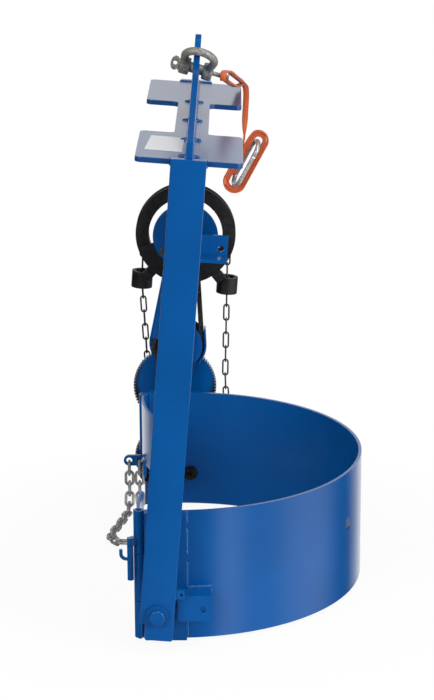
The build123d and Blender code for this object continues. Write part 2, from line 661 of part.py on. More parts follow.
# Hand chain: over the wheel, through both tubes and hanging in a loop behind the band
with BuildLine(across(WHEEL_MID)) as hand_line:
    ThreePointArc((HAND_PITCH_RADIUS, WHEEL_RISE), (0, WHEEL_RISE + HAND_PITCH_RADIUS),
                  (-HAND_PITCH_RADIUS, WHEEL_RISE))
    FilletPolyline((-HAND_PITCH_RADIUS, WHEEL_RISE), (TUBE_PLACES[0], TUBE_RISE - 4), (-50, 150), (-26, 60),
                   (-14, -46), (98, -46), (98, 60), (88, 150), (TUBE_PLACES[1], TUBE_RISE - 4),
                   (HAND_PITCH_RADIUS, WHEEL_RISE), radius=[90, 120, 120, 48, 48, 120, 120, 120])
hand_wire = hand_line.wires()[0]
HAND_COUNT = 2 * round(hand_wire.length / HAND_SPACING / 2)
hand_step = hand_wire.length / HAND_COUNT
hand_joints = [hand_wire.position_at(index / HAND_COUNT) for index in range(HAND_COUNT)]
hand_joints.append(hand_joints[0])
hand_link = oval_link(HAND_WIRE, hand_step + 0.4, HAND_WIDTH)
across_y = Vector(0, 1, 0)
hand_links = place_links(hand_link, hand_joints,
                         lambda heading, index: across_y if index % 2 else heading.cross(across_y))
save_group(hand_links, "hand_chain")
print("hand chain links", HAND_COUNT, "spacing", round(hand_step, 3))


# Roller chain: inner and outer links in turn, their joints one pitch apart round both sprockets
def roller_link(inner):
    """An inner link (two plates and two rollers) or an outer link (two plates and two pins), long along X."""
    near, far = (2.5, 3.6) if inner else (4.0, 5.1)
    with BuildPart() as link:
        for level in (near, -far):
            with BuildSketch(Plane.XY.offset(level)):
                SlotCenterToCenter(CHAIN_PITCH, 8.4)
            extrude(amount=far - near)
        with BuildSketch(Plane.XY.offset(-near if inner else -5.9)):
            with Locations((-CHAIN_PITCH / 2, 0), (CHAIN_PITCH / 2, 0)):
                Circle(ROLLER_RADIUS if inner else 1.6)
        extrude(amount=2 * (near if inner else 5.9))
        if inner:
            with BuildSketch(Plane.XY.offset(-far)):
                with Locations((-CHAIN_PITCH / 2, 0), (CHAIN_PITCH / 2, 0)):
                    Circle(1.85)
            extrude(amount=2 * far, mode=Mode.SUBTRACT)
    return link.part


chain_lean = asin((sprocket_radius(DRIVEN_SPROCKET) - sprocket_radius(DRIVE_SPROCKET)) / CHAIN_CENTRES)
low_r, high_r = sprocket_radius(DRIVEN_SPROCKET), sprocket_radius(DRIVE_SPROCKET)
right_low = (low_r * cos(chain_lean), LAY_RISE + low_r * sin(chain_lean))
right_high = (high_r * cos(chain_lean), WHEEL_RISE + high_r * sin(chain_lean))
with BuildLine(across(CHAIN_PLANE)):
    foot_arc = ThreePointArc((0, LAY_RISE - low_r),
                             (low_r * cos(radians(-40)), LAY_RISE + low_r * sin(radians(-40))),
                             right_low)
    right_run = Line(right_low, right_high)
    head_arc = ThreePointArc(right_high, (0, WHEEL_RISE + high_r), (-right_high[0], right_high[1]))
    left_run = Line((-right_high[0], right_high[1]), (-right_low[0], right_low[1]))
    last_arc = ThreePointArc((-right_low[0], right_low[1]),
                             (-low_r * cos(radians(-40)), LAY_RISE + low_r * sin(radians(-40))),
                             (0, LAY_RISE - low_r))


def along_chain(distance):
    """Place on the roller chain's pitch line, measured from the lowest point of the driven sprocket."""
    for run in (foot_arc, right_run, head_arc, left_run, last_arc):
        if distance <= run.length:
            return run.position_at(distance, position_mode=PositionMode.LENGTH)
        distance -= run.length
    return foot_arc @ 0


roller_joints = [along_chain(index * CHAIN_PITCH) for index in range(CHAIN_LINKS)]
roller_joints.append(roller_joints[0])
inner_link, outer_link = roller_link(True), roller_link(False)
roller_links = []
for index in range(CHAIN_LINKS):
    link = inner_link if index % 2 else outer_link
    pair = roller_joints[index:index + 2]
    roller_links += place_links(link, pair, lambda heading, index: heading.cross(across_y))
save_group(roller_links, "roller_chain")
print("roller chain starts at", roller_joints[0])

# Band: a half ring whose two ends carry hinge knuckles
NEAR_ANGLE = -90.0 - NEAR_END
FAR_ANGLE = 90.0 + FAR_END


def on_band(radius, angle):
    return (BAND_OFFSET + radius * cos(radians(angle)), radius * sin(radians(angle)))


NEAR_HINGE = on_band(HINGE_CIRCLE, NEAR_ANGLE)
FAR_HINGE = on_band(HINGE_CIRCLE, FAR_ANGLE)
KNUCKLE_GAP = 0.5
NEAR_KNUCKLE = (3.0, 78.0)            # the band's own knuckle between the two of the lever
FAR_KNUCKLE = (45.0, 80.0)
FAR_LEAF_BOTTOM = BAND_TOP - FAR_LEAF_HEIGHT
HINGE_ROOM = HINGE_RADIUS + 0.8


def arc_plate(start, end):
    """Plan of a plate that follows the band's wall about the origin, between two angles."""
    with BuildSketch() as plan:
        with BuildLine():
            first = CenterArc((0, 0), BAND_RADIUS, start, end - start)
            second = CenterArc((0, 0), BAND_RADIUS - BAND_WALL, start, end - start)
            Line(first @ 0, second @ 0)
            Line(first @ 1, second @ 1)
        make_face()
    return plan.sketch


def upright(place, radius, low, high):
    """A round bar along the holder's upright axis."""
    with BuildPart() as bar:
        with BuildSketch(holder_level(low)):
            with Locations(place):
                Circle(radius)
        extrude(amount=high - low)
    return bar.part


with BuildPart() as saddle_band:
    with BuildSketch(holder_level(BAND_BOTTOM, x=BAND_OFFSET)):
        add(arc_plate(NEAR_ANGLE, FAR_ANGLE))
    extrude(amount=BAND_HEIGHT)
    add(upright(NEAR_HINGE, HINGE_ROOM, BAND_BOTTOM, NEAR_KNUCKLE[0]), mode=Mode.SUBTRACT)
    add(upright(NEAR_HINGE, HINGE_ROOM, NEAR_KNUCKLE[1], BAND_TOP), mode=Mode.SUBTRACT)
    add(upright(FAR_HINGE, HINGE_ROOM, FAR_KNUCKLE[1], BAND_TOP), mode=Mode.SUBTRACT)
    add(upright(NEAR_HINGE, HINGE_RADIUS, *NEAR_KNUCKLE))
    add(upright(FAR_HINGE, HINGE_RADIUS, *FAR_KNUCKLE))
    add(upright(NEAR_HINGE, HINGE_PIN_RADIUS + SEAT, *NEAR_KNUCKLE), mode=Mode.SUBTRACT)
    add(upright(FAR_HINGE, HINGE_PIN_RADIUS + SEAT, *FAR_KNUCKLE), mode=Mode.SUBTRACT)
    with BuildSketch(holder_across(0)):
        with Locations(*BOLT_PLACES):
            Circle(FLANGE_BOLT_RADIUS + SEAT)
    extrude(amount=-PAD_OUTER, mode=Mode.SUBTRACT)
    with BuildSketch(holder_across(0)):
        with Locations((BAND_OFFSET + 268.0, 60.0)):
            Rectangle(7.0, 20.0)
    extrude(amount=BAND_RADIUS, mode=Mode.SUBTRACT)
save(saddle_band, "saddle_band")

HOOK_RELIEF = 23.5        # room in the near pad for the hook's pin when the lever swings shut


def pivot_pad(width, side, hinge):
    """A flat pad welded on the band, its inner face cut to the band's round; side is -1 near, +1 far."""
    with BuildPart() as pad:
        with BuildSketch(holder_level(BAND_BOTTOM)):
            with Locations((0, side * (PAD_OUTER + 270.0) / 2)):
                Rectangle(width, PAD_OUTER - 270.0)
            with Locations((BAND_OFFSET, 0)):
                Circle(BAND_RADIUS, mode=Mode.SUBTRACT)
            with Locations((hinge[0] + HINGE_ROOM, 0)):
                Rectangle(100, 700, align=(Align.MAX, Align.CENTER), mode=Mode.SUBTRACT)
        extrude(amount=BAND_HEIGHT)
        if side > 0:
            with BuildSketch(holder_across(0)):
                with Locations(*BOLT_PLACES):
                    Circle(FLANGE_BOLT_RADIUS + SEAT)
            extrude(amount=-PAD_OUTER, mode=Mode.SUBTRACT)
        else:
            add(upright(hinge, HOOK_RELIEF, 36.0, 111.0), mode=Mode.SUBTRACT)
    return pad


save(pivot_pad(NEAR_PAD_WIDTH, -1, NEAR_HINGE), "near_pad")
save(pivot_pad(FAR_PAD_WIDTH, 1, FAR_HINGE), "far_pad")

# Flange bolts: button heads on saddle washers inside the far wall
BUTTON_RADIUS = 10.0
WASHER_RADIUS = 12.5
with BuildPart() as flange_washers:
    with BuildSketch(holder_across(200.0)):
        with Locations(*BOLT_PLACES):
            Circle(WASHER_RADIUS)
            Circle(FLANGE_BOLT_RADIUS + SEAT, mode=Mode.SUBTRACT)
    extrude(amount=-(BAND_RADIUS - 200.0))
    with BuildSketch(holder_level(BAND_BOTTOM, x=BAND_OFFSET)):
        Circle(BAND_RADIUS + 20.0)
        Circle(BAND_RADIUS - BAND_WALL, mode=Mode.SUBTRACT)
    extrude(amount=BAND_HEIGHT, mode=Mode.SUBTRACT)
    for place in BOLT_PLACES:
        rim = max(abs(place[0] - BAND_OFFSET - WASHER_RADIUS), abs(place[0] - BAND_OFFSET + WASHER_RADIUS))
        face = sqrt((BAND_RADIUS - BAND_WALL) ** 2 - rim ** 2) - 2.5
        with BuildSketch(holder_across(face)):
            with Locations(place):
                Circle(WASHER_RADIUS + 1.0)
        extrude(amount=face - 199.0, mode=Mode.SUBTRACT)
save(flange_washers, "flange_washers")

with BuildPart() as flange_bolts:
    for place in BOLT_PLACES:
        rim = max(abs(place[0] - BAND_OFFSET - WASHER_RADIUS), abs(place[0] - BAND_OFFSET + WASHER_RADIUS))
        face = sqrt((BAND_RADIUS - BAND_WALL) ** 2 - rim ** 2) - 2.5
        with BuildSketch(holder_across(face - 5.5)):
            with Locations(place):
                Circle(BUTTON_RADIUS)
                RegularPolygon(4.2, 6, mode=Mode.SUBTRACT)
        extrude(amount=-3.5)
        with BuildSketch(holder_across(face - 2.0)):
            with Locations(place):
                Circle(BUTTON_RADIUS)
        extrude(amount=-2.0)
        with BuildSketch(holder_across(face)):
            with Locations(place):
                Circle(FLANGE_BOLT_RADIUS)
        extrude(amount=-(PAD_OUTER + FLANGE_THICK - face))
save(flange_bolts, "flange_bolts")

# Near pivot: stub on the near pad, with its washer and bolt outside the arm
PIVOT_WASHER_RADIUS = 17.0
PIVOT_WASHER_THICK = 4.0
PIVOT_BOLT_RADIUS = 6.0
PIVOT_HEAD_RADIUS = 11.5
PIVOT_HEAD_HEIGHT = 7.0
STUB_END = ARM_OUTER + SIDE_GAP
with BuildPart() as near_pivot:
    with BuildSketch(holder_across(-PAD_OUTER)):
        Circle(SHOULDER_RADIUS)
    extrude(amount=ARM_INNER - SIDE_GAP - PAD_OUTER)
    with BuildSketch(holder_across(-PAD_OUTER)):
        Circle(PIVOT_RADIUS)
    extrude(amount=STUB_END - PAD_OUTER)
    with BuildSketch(holder_across(-STUB_END)):
        Circle(PIVOT_BOLT_RADIUS + SEAT)
    extrude(amount=-25.0, mode=Mode.SUBTRACT)
save(near_pivot, "near_pivot")
pivot_washer = ring(PIVOT_BOLT_RADIUS + SEAT, PIVOT_WASHER_RADIUS, PIVOT_WASHER_THICK, holder_across(-STUB_END))
save(pivot_washer, "pivot_washer")
with BuildPart() as pivot_bolt:
    with BuildSketch(holder_across(-STUB_END - PIVOT_WASHER_THICK)):
        Circle(PIVOT_HEAD_RADIUS)
    extrude(amount=PIVOT_HEAD_HEIGHT)
    fillet(pivot_bolt.edges().group_by(Axis.Y)[0], radius=2.0)
    with BuildSketch(holder_across(-STUB_END - PIVOT_WASHER_THICK)):
        Circle(PIVOT_BOLT_RADIUS)
    extrude(amount=-(PIVOT_WASHER_THICK + 24.0))
save(pivot_bolt, "pivot_bolt")

# Lock bracket on the near wall beside the arm
LOCK_SPAN = (30.0, 80.0)
LOCK_TOP = 25.0
LOCK_BOTTOM = -16.0
LOCK_OUTER = 328.0
LOCK_THICK = 6.35
LOCK_HOLE = (67.0, 3.0)
LOCK_HOLE_RADIUS = 5.2
with BuildPart() as lock_bracket:
    with BuildSketch(holder_level(LOCK_TOP - LOCK_THICK)):
        with Locations(((LOCK_SPAN[0] + LOCK_SPAN[1]) / 2, -(LOCK_OUTER + 280.0) / 2)):
            Rectangle(LOCK_SPAN[1] - LOCK_SPAN[0], LOCK_OUTER - 280.0)
        with Locations((BAND_OFFSET, 0)):
            Circle(BAND_RADIUS, mode=Mode.SUBTRACT)
        Rectangle(NEAR_PAD_WIDTH, 2 * PAD_OUTER, mode=Mode.SUBTRACT)
    extrude(amount=LOCK_THICK)
    with BuildSketch(holder_across(-LOCK_OUTER)):
        with Locations(((LOCK_SPAN[0] + LOCK_SPAN[1]) / 2, (LOCK_TOP + LOCK_BOTTOM) / 2)):
            Rectangle(LOCK_SPAN[1] - LOCK_SPAN[0], LOCK_TOP - LOCK_BOTTOM)
        with Locations(LOCK_HOLE):
            Circle(LOCK_HOLE_RADIUS, mode=Mode.SUBTRACT)
    extrude(amount=-LOCK_THICK)
save(lock_bracket, "lock_bracket")

# Lock tab on the edge of the near arm, with its pin hole
TAB_TOP = 42.0
TAB_HEIGHT = 14.0
TAB_REACH = 13.0
TAB_HOLE = (33.4, 35.0)
TAB_HOLE_RADIUS = 2.4
with BuildPart() as lock_tab:
    with BuildSketch(across(-ARM_OUTER + ARM_EDGE)):
        with Locations((ARM_WIDTH / 2, TAB_TOP)):
            Rectangle(TAB_REACH, TAB_HEIGHT, align=(Align.MIN, Align.MAX))
        with Locations(TAB_HOLE):
            Circle(TAB_HOLE_RADIUS, mode=Mode.SUBTRACT)
    extrude(amount=-8.0)
save(lock_tab, "lock_tab")

# Hinge pins
PIN_TIP = 4.0
with BuildPart() as near_hinge_pin:
    add(upright(NEAR_HINGE, HINGE_PIN_RADIUS, BAND_BOTTOM - PIN_TIP, BAND_TOP - 8.0))
    fillet(near_hinge_pin.edges().group_by(Axis.Z)[0], radius=HINGE_PIN_RADIUS - 0.5)
save(near_hinge_pin, "near_hinge_pin")
with BuildPart() as far_hinge_pin:
    add(upright(FAR_HINGE, HINGE_PIN_RADIUS, FAR_KNUCKLE[0], BAND_TOP - 6.0))
save(far_hinge_pin, "far_hinge_pin")


# Leaves: each continues the band when closed and stands here swung into its mouth
def leaf_plan(hinge, band_angle, swing, low):
    """Plane at the hinge whose x axis points out of the band when the leaf is closed, turned by the swing."""
    return holder_level(low, x=hinge[0], y=hinge[1], turn=band_angle + swing)


def leaf_body(hinge, band_angle, swing, sense, length, low, high):
    """The leaf's curved plate, from beside its hinge barrel; sense is the way it runs round the band."""
    reach = degrees(length / HINGE_CIRCLE)
    lead = degrees((HINGE_RADIUS - 1.0) / HINGE_CIRCLE)
    with BuildPart() as leaf:
        with BuildSketch(leaf_plan(hinge, band_angle, swing, low)):
            with Locations((-HINGE_CIRCLE, 0)):
                add(arc_plate(lead, reach) if sense > 0 else arc_plate(-reach, -lead))
        extrude(amount=high - low)
    return leaf.part


HOOK_PIVOT = (-40.3, -300.0)
HOOK_EYE = (94.0, 104.0)
HOOK_EYE_RADIUS = 4.75
HOOK_PIN_RADIUS = 3.0
with BuildPart() as cinch_lever:
    add(leaf_body(NEAR_HINGE, NEAR_ANGLE, -LEAF_SWING, -1, NEAR_LEAF_LENGTH, BAND_BOTTOM, BAND_TOP))
    add(upright(NEAR_HINGE, HINGE_ROOM, NEAR_KNUCKLE[0] - KNUCKLE_GAP, NEAR_KNUCKLE[1] + KNUCKLE_GAP),
        mode=Mode.SUBTRACT)
    add(upright(NEAR_HINGE, HINGE_RADIUS, BAND_BOTTOM, NEAR_KNUCKLE[0] - KNUCKLE_GAP))
    add(upright(NEAR_HINGE, HINGE_RADIUS, NEAR_KNUCKLE[1] + KNUCKLE_GAP, BAND_TOP))
    with BuildSketch(holder_level(HOOK_EYE[0])):
        with Locations(NEAR_HINGE, HOOK_PIVOT):
            Circle(HOOK_EYE_RADIUS)
        make_hull()
    extrude(amount=HOOK_EYE[1] - HOOK_EYE[0])
    add(upright(HOOK_PIVOT, HOOK_PIN_RADIUS + SEAT, HOOK_EYE[0], HOOK_EYE[1]), mode=Mode.SUBTRACT)
    add(upright(NEAR_HINGE, HINGE_PIN_RADIUS + RUNNING, BAND_BOTTOM, BAND_TOP), mode=Mode.SUBTRACT)
save(cinch_lever, "cinch_lever")

HOOK_SLEEVE = (68.0, 93.5)
HOOK_FOOT = 40.0
with BuildPart() as hook_pin:
    add(upright(HOOK_PIVOT, HOOK_PIN_RADIUS, HOOK_FOOT, HOOK_EYE[1]))
    add(upright(HOOK_PIVOT, HOOK_EYE_RADIUS, HOOK_FOOT, HOOK_SLEEVE[0] - KNUCKLE_GAP))
    add(upright(HOOK_PIVOT, HOOK_EYE_RADIUS, HOOK_EYE[1], HOOK_EYE[1] + 2.5))
save(hook_pin, "hook_pin")

HOOK_BAR = 2.6
HOOK_RISE = 73.0
with BuildPart() as grab_hook:
    add(upright(HOOK_PIVOT, HOOK_EYE_RADIUS, *HOOK_SLEEVE))
    hook_plane = Plane(origin=HOLDER.from_local_coords((*HOOK_PIVOT, 0)), x_dir=HOLDER.x_dir, z_dir=(0, -1, 0))
    with BuildLine(hook_plane):
        FilletPolyline((0, HOOK_RISE), (-14, HOOK_RISE), (-14, HOOK_RISE + 15), radius=8.0)
    hook_start = HOLDER.from_local_coords((*HOOK_PIVOT, HOOK_RISE))
    with BuildSketch(Plane(origin=hook_start, x_dir=(0, 1, 0), z_dir=-HOLDER.x_dir)):
        Circle(HOOK_BAR)
    sweep()
    add(upright(HOOK_PIVOT, HOOK_PIN_RADIUS + RUNNING, *HOOK_SLEEVE), mode=Mode.SUBTRACT)
save(grab_hook, "grab_hook")

with BuildPart() as far_leaf:
    add(leaf_body(FAR_HINGE, FAR_ANGLE, LEAF_SWING, 1, FAR_LEAF_LENGTH, FAR_LEAF_BOTTOM, BAND_TOP))
    add(upright(FAR_HINGE, HINGE_ROOM, FAR_LEAF_BOTTOM, FAR_KNUCKLE[1] + KNUCKLE_GAP), mode=Mode.SUBTRACT)
    add(upright(FAR_HINGE, HINGE_RADIUS, FAR_KNUCKLE[1] + KNUCKLE_GAP, BAND_TOP))
    add(upright(FAR_HINGE, HINGE_PIN_RADIUS + RUNNING, FAR_LEAF_BOTTOM, BAND_TOP), mode=Mode.SUBTRACT)
save(far_leaf, "far_leaf")

# Chain anchor: a fixed plate below the far leaf with an upright lug for both ends of the cinch chain
ANCHOR_SPAN = (15.0, FAR_LEAF_BOTTOM - 2.5)
ANCHOR_LENGTH = 62.0
ANCHOR_Y = 262.0
LUG_PLATE = 5.0
CHAIN_HOLES = ((-50.0, 33.0), (-67.5, 33.0))
CHAIN_HOLE_RADIUS = 5.2
with BuildPart() as chain_anchor:
    with BuildSketch(leaf_plan(FAR_HINGE, FAR_ANGLE, LEAF_SWING, ANCHOR_SPAN[0])):
        with Locations((-HINGE_CIRCLE, 0)):
            add(arc_plate(0.4, degrees(ANCHOR_LENGTH / HINGE_CIRCLE)))
    extrude(amount=ANCHOR_SPAN[1] - ANCHOR_SPAN[0])
    with BuildSketch(holder_across(ANCHOR_Y - LUG_PLATE / 2)):
        with Locations((-41.0, 33.0), *CHAIN_HOLES):
            Circle(9.5)
        make_hull()
        with Locations(*CHAIN_HOLES):
            Circle(CHAIN_HOLE_RADIUS, mode=Mode.SUBTRACT)
    extrude(amount=-LUG_PLATE)
    with BuildSketch(holder_level(BAND_BOTTOM, x=BAND_OFFSET)):
        add(arc_plate(0.0, FAR_ANGLE))
    extrude(amount=BAND_HEIGHT, mode=Mode.SUBTRACT)
save(chain_anchor, "chain_anchor")

# Cinch chain: down from the lug's first hole, round a loose loop at floor level and up to the second hole
LYING = BAND_BOTTOM + 3.8
CINCH_TOP = CHAIN_HOLES[0][1] - CHAIN_HOLE_RADIUS + 0.3
CINCH_BACK = CHAIN_HOLES[1][1] - CHAIN_HOLE_RADIUS + 0.3
cinch_plan = [
    (-50, 262, CINCH_TOP), (-50, 262, CINCH_TOP - CINCH_INSIDE), (-50, 262, -12), (-49, 256, -36),
    (-46, 238, LYING), (-44, 205, LYING), (-43, 170, LYING), (-44, 140, LYING), (-46, 114, LYING),
    (-53, 97.5, LYING), (-69.5, 90.5, LYING), (-86, 97.5, LYING), (-93, 114, LYING), (-91, 135, LYING),
    (-86, 157, LYING), (-79, 185, LYING), (-73, 218, LYING), (-69, 243, LYING),
    (-67.5, 258, -33), (-67.5, 262, -10),
    (-67.5, 262, CINCH_BACK - CINCH_INSIDE), (-67.5, 262, CINCH_BACK),
]
cinch_curve = Edge.make_spline([HOLDER.from_local_coords(point) for point in cinch_plan])
CINCH_COUNT = 2 * ceil((cinch_curve.length / (CINCH_INSIDE - CINCH_SLACK) - 1) / 2) + 1
cinch_joints = [cinch_curve.position_at(index / CINCH_COUNT) for index in range(CINCH_COUNT + 1)]
cinch_link = oval_link(CINCH_WIRE, CINCH_INSIDE, CINCH_WIDTH)


def cinch_wide(heading, index):
    """Links hang square to the lug; on the floor every other one stands on edge, so that no joint is twisted."""
    steep = abs(heading.dot(HOLDER.z_dir))
    wish = across_y * steep ** 2 - HOLDER.z_dir * (1 - steep)
    side = (wish - heading * wish.dot(heading)).normalized()
    return heading.cross(side) if index % 2 else side


save_group(place_links(cinch_link, cinch_joints, cinch_wide), "cinch_chain")
print("cinch links", CINCH_COUNT, "spacing", round(cinch_curve.length / CINCH_COUNT, 2))

# Shackle: the bow leans on the lug, its screw pin lies skewed in the eye
PIN_DIR = Vector(cos(radians(SHACKLE_SKEW)), 0, -sin(radians(SHACKLE_SKEW)))
PIN_UP = Vector(sin(radians(SHACKLE_SKEW)), 0, cos(radians(SHACKLE_SKEW)))
LEAN_DIR = PIN_UP * cos(radians(SHACKLE_LEAN)) + Vector(0, -1, 0) * sin(radians(SHACKLE_LEAN))
BOW_PLANE = Plane(origin=(0, 0, 0), x_dir=PIN_DIR, z_dir=PIN_DIR.cross(LEAN_DIR))
EAR_MID = (JAW + BOW_WIRE) / 2
EAR_THICK = BOW_WIRE + 3.0
EAR_RADIUS = 13.5
CROWN_RADIUS = (BOW_INSIDE + BOW_WIRE) / 2


def along_pin(position):
    """Plane square to the shackle pin at a place along it."""
    return Plane(origin=PIN_DIR * position, x_dir=(0, 1, 0), z_dir=PIN_DIR)


crown_centre = (0.0, BOW_LENGTH - CROWN_RADIUS)
leg_touch = tangent_point((EAR_MID, 0.0), crown_centre, CROWN_RADIUS, -1)
with BuildPart() as shackle_bow:
    with BuildLine(BOW_PLANE):
        Line((EAR_MID, 0), leg_touch)
        ThreePointArc(leg_touch, (0, BOW_LENGTH), (-leg_touch[0], leg_touch[1]))
        Line((-leg_touch[0], leg_touch[1]), (-EAR_MID, 0))
    leg_way = (BOW_PLANE.x_dir * (leg_touch[0] - EAR_MID) + BOW_PLANE.y_dir * leg_touch[1]).normalized()
    with BuildSketch(Plane(origin=PIN_DIR * EAR_MID, x_dir=BOW_PLANE.z_dir, z_dir=leg_way)):
        Circle(BOW_WIRE / 2)
    sweep()
    for start in (JAW / 2, -JAW / 2 - EAR_THICK):
        with BuildSketch(along_pin(start)):
            Circle(EAR_RADIUS)
        extrude(amount=EAR_THICK)
    with BuildSketch(along_pin(-JAW / 2)):
        Circle(EAR_RADIUS + 4.0)
    extrude(amount=JAW, mode=Mode.SUBTRACT)
    with BuildSketch(along_pin(-40)):
        Circle(SHACKLE_PIN_RADIUS + RUNNING)
    extrude(amount=80, mode=Mode.SUBTRACT)
save(shackle_bow, "shackle_bow")

EAR_FACE = JAW / 2 + EAR_THICK
TAIL_END = EAR_FACE + 26.0
with BuildPart() as shackle_pin:
    with BuildSketch(along_pin(-EAR_FACE - SIDE_GAP)):
        Circle(SHACKLE_PIN_RADIUS)
    extrude(amount=2 * EAR_FACE + SIDE_GAP)
    with BuildSketch(along_pin(-EAR_FACE - SIDE_GAP)):
        Circle(10.0)
    extrude(amount=-1.5)
    with BuildSketch(along_pin(EAR_FACE)):
        Circle(TAIL_RADIUS)
    extrude(amount=TAIL_END - EAR_FACE)
    with BuildSketch(along_pin(TAIL_END - 2.5)):
        Circle(TAIL_RADIUS + 2.0)
    extrude(amount=2.5)
    eye_centre = PIN_DIR * (-EAR_FACE - SIDE_GAP - 7.0)
    with BuildSketch(Plane(origin=eye_centre + Vector(0, -4.0, 0), x_dir=PIN_DIR, z_dir=(0, 1, 0))):
        Ellipse(7.0, 10.6)
        Circle(3.4, mode=Mode.SUBTRACT)
    extrude(amount=8.0)
save(shackle_pin, "shackle_pin")

# Lanyard: a strap doubled round the pin's tail, over the plate's rear corner and down to a wound hank
LOOP_AT = EAR_FACE + 17.0
LOOP_RADIUS = TAIL_RADIUS + STRAP_RADIUS + 0.5
loop = PIN_DIR * LOOP_AT
HANK_CENTRE = Vector(95.4, 326.0, -203.6)
HANK_LEAN = 24.0
HANK_UP = Vector(sin(radians(HANK_LEAN)), 0, cos(radians(HANK_LEAN)))
HANK_SIDE = Vector(cos(radians(HANK_LEAN)), 0, -sin(radians(HANK_LEAN)))
HANK_PLANE = Plane(origin=HANK_CENTRE, x_dir=HANK_SIDE, z_dir=(0, -1, 0))
hank_outer = HANK_INNER + HANK_TURNS * HANK_PITCH
hank_end = HANK_PLANE.from_local_coords((-hank_outer, HANK_END, 0))
strap_points = [
    (74, 292, PLATE_Z + 8.5), (68, 230, PLATE_Z + 14), (58, 140, PLATE_Z + 32),
    (48, 50, PLATE_Z + 52), (loop.X + 2, 10, loop.Z - LOOP_RADIUS),
    (loop.X, -LOOP_RADIUS, loop.Z - LOOP_RADIUS),
    (loop.X, -LOOP_RADIUS, loop.Z + LOOP_RADIUS), (loop.X + 2, 12, loop.Z + LOOP_RADIUS),
    (52, 60, PLATE_Z + 66), (62, 150, PLATE_Z + 44), (72, 240, PLATE_Z + 24), (78, 304, PLATE_Z + 9),
    (86, 322, PLATE_Z - 2), (86.5, 325, PLATE_Z - 55), tuple(hank_end + HANK_UP * 14), tuple(hank_end),
]
strap_radii = [60, 60, 60, 30, 6, 6, 20, 60, 60, 60, 40, 10, 14, 30]
with BuildPart() as lanyard_strap:
    with BuildLine() as strap_line:
        FilletPolyline(*strap_points, radius=strap_radii)
    strap_path = strap_line.wires()[0]
    with BuildSketch(Plane(origin=strap_path @ 0, z_dir=strap_path % 0)):
        Circle(STRAP_RADIUS)
    sweep()
save(lanyard_strap, "lanyard_strap")
print("strap bend radii", strap_radii, "length", round(strap_path.length))


def hank_line():
    """Centre line of the hank, wound outwards: up the left side, over the top, down the right and back."""
    half = HANK_LENGTH / 2
    radius = HANK_INNER
    Line((-radius, -half + 10.0), (-radius, half))
    for turn in range(HANK_TURNS):
        ThreePointArc((-radius, half), (0, half + radius), (radius, half))
        Line((radius, half), (radius, -half))
        wider = radius + HANK_PITCH
        ThreePointArc((radius, -half), ((radius - wider) / 2, -half - (radius + wider) / 2), (-wider, -half))
        radius = wider
        Line((-radius, -half), (-radius, half if turn < HANK_TURNS - 1 else HANK_END))


with BuildPart() as lanyard_hank:
    with BuildLine(HANK_PLANE) as hank_turns:
        hank_line()
    hank_path = hank_turns.wires()[0]
    with BuildSketch(Plane(origin=hank_path @ 0, x_dir=HANK_SIDE, z_dir=HANK_UP)):
        Rectangle(STRAP_THICK, STRAP_WIDTH)
    sweep()
save(lanyard_hank, "lanyard_hank")

samples = [hank_path.position_at(index / 600) for index in range(601)]
least = min(
    (samples[a] - samples[b]).length
    for a in range(0, 601, 3)
    for b in range(601)
    if abs(a - b) > 40
)
print("hank least gap to itself", round(least - STRAP_THICK, 2))

# Carabiner in the hank, its ring standing along Y, with a hinged gate
turned = radians(CARABINER_TURN)
settled = HANK_CENTRE - HANK_UP * CARABINER_DROP
CARABINER_PLANE = Plane(origin=settled, x_dir=HANK_SIDE * sin(turned) - across_y * cos(turned),
                        z_dir=HANK_SIDE * cos(turned) + across_y * sin(turned))
carabiner_bend = (CARABINER_WIDTH - CARABINER_WIRE) / 2
carabiner_half = (CARABINER_LENGTH - CARABINER_WIDTH) / 2
GATE_SPAN = (-carabiner_half + 4.0, carabiner_half - 4.0)
with BuildPart() as carabiner_body:
    with BuildLine(CARABINER_PLANE):
        Line((carabiner_bend, GATE_SPAN[0] - 0.5), (carabiner_bend, -carabiner_half))
        ThreePointArc((carabiner_bend, -carabiner_half), (0, -carabiner_half - carabiner_bend),
                      (-carabiner_bend, -carabiner_half))
        Line((-carabiner_bend, -carabiner_half), (-carabiner_bend, carabiner_half))
        ThreePointArc((-carabiner_bend, carabiner_half), (0, carabiner_half + carabiner_bend),
                      (carabiner_bend, carabiner_half))
        Line((carabiner_bend, carabiner_half), (carabiner_bend, GATE_SPAN[1] + 0.5))
    gate_foot = CARABINER_PLANE.from_local_coords((carabiner_bend, GATE_SPAN[0] - 0.5, 0))
    with BuildSketch(Plane(origin=gate_foot, x_dir=CARABINER_PLANE.x_dir, z_dir=-CARABINER_PLANE.y_dir)):
        Circle(CARABINER_WIRE / 2)
    sweep()
save(carabiner_body, "carabiner_body")

GATE_RADIUS = CARABINER_WIRE / 2 - 0.6
gate_hinge = CARABINER_PLANE.from_local_coords((carabiner_bend, GATE_SPAN[0] + GATE_RADIUS, 0))
with BuildPart() as carabiner_gate:
    with BuildSketch(Plane(origin=gate_hinge, x_dir=CARABINER_PLANE.x_dir, z_dir=CARABINER_PLANE.y_dir)):
        Circle(GATE_RADIUS)
    extrude(amount=GATE_SPAN[1] - GATE_SPAN[0] - GATE_RADIUS)
    with BuildSketch(Plane(origin=gate_hinge, x_dir=CARABINER_PLANE.x_dir, z_dir=CARABINER_PLANE.z_dir)):
        Circle(GATE_RADIUS)
    extrude(amount=GATE_RADIUS - 0.6, both=True)
save(carabiner_gate, "carabiner_gate")
print("gate hinge", gate_hinge, "axis", CARABINER_PLANE.z_dir)
print("rises: idler", IDLER_RISE, "lay", LAY_RISE, "wheel", round(WHEEL_RISE, 3))
print("hinges: near", NEAR_HINGE, "far", FAR_HINGE)
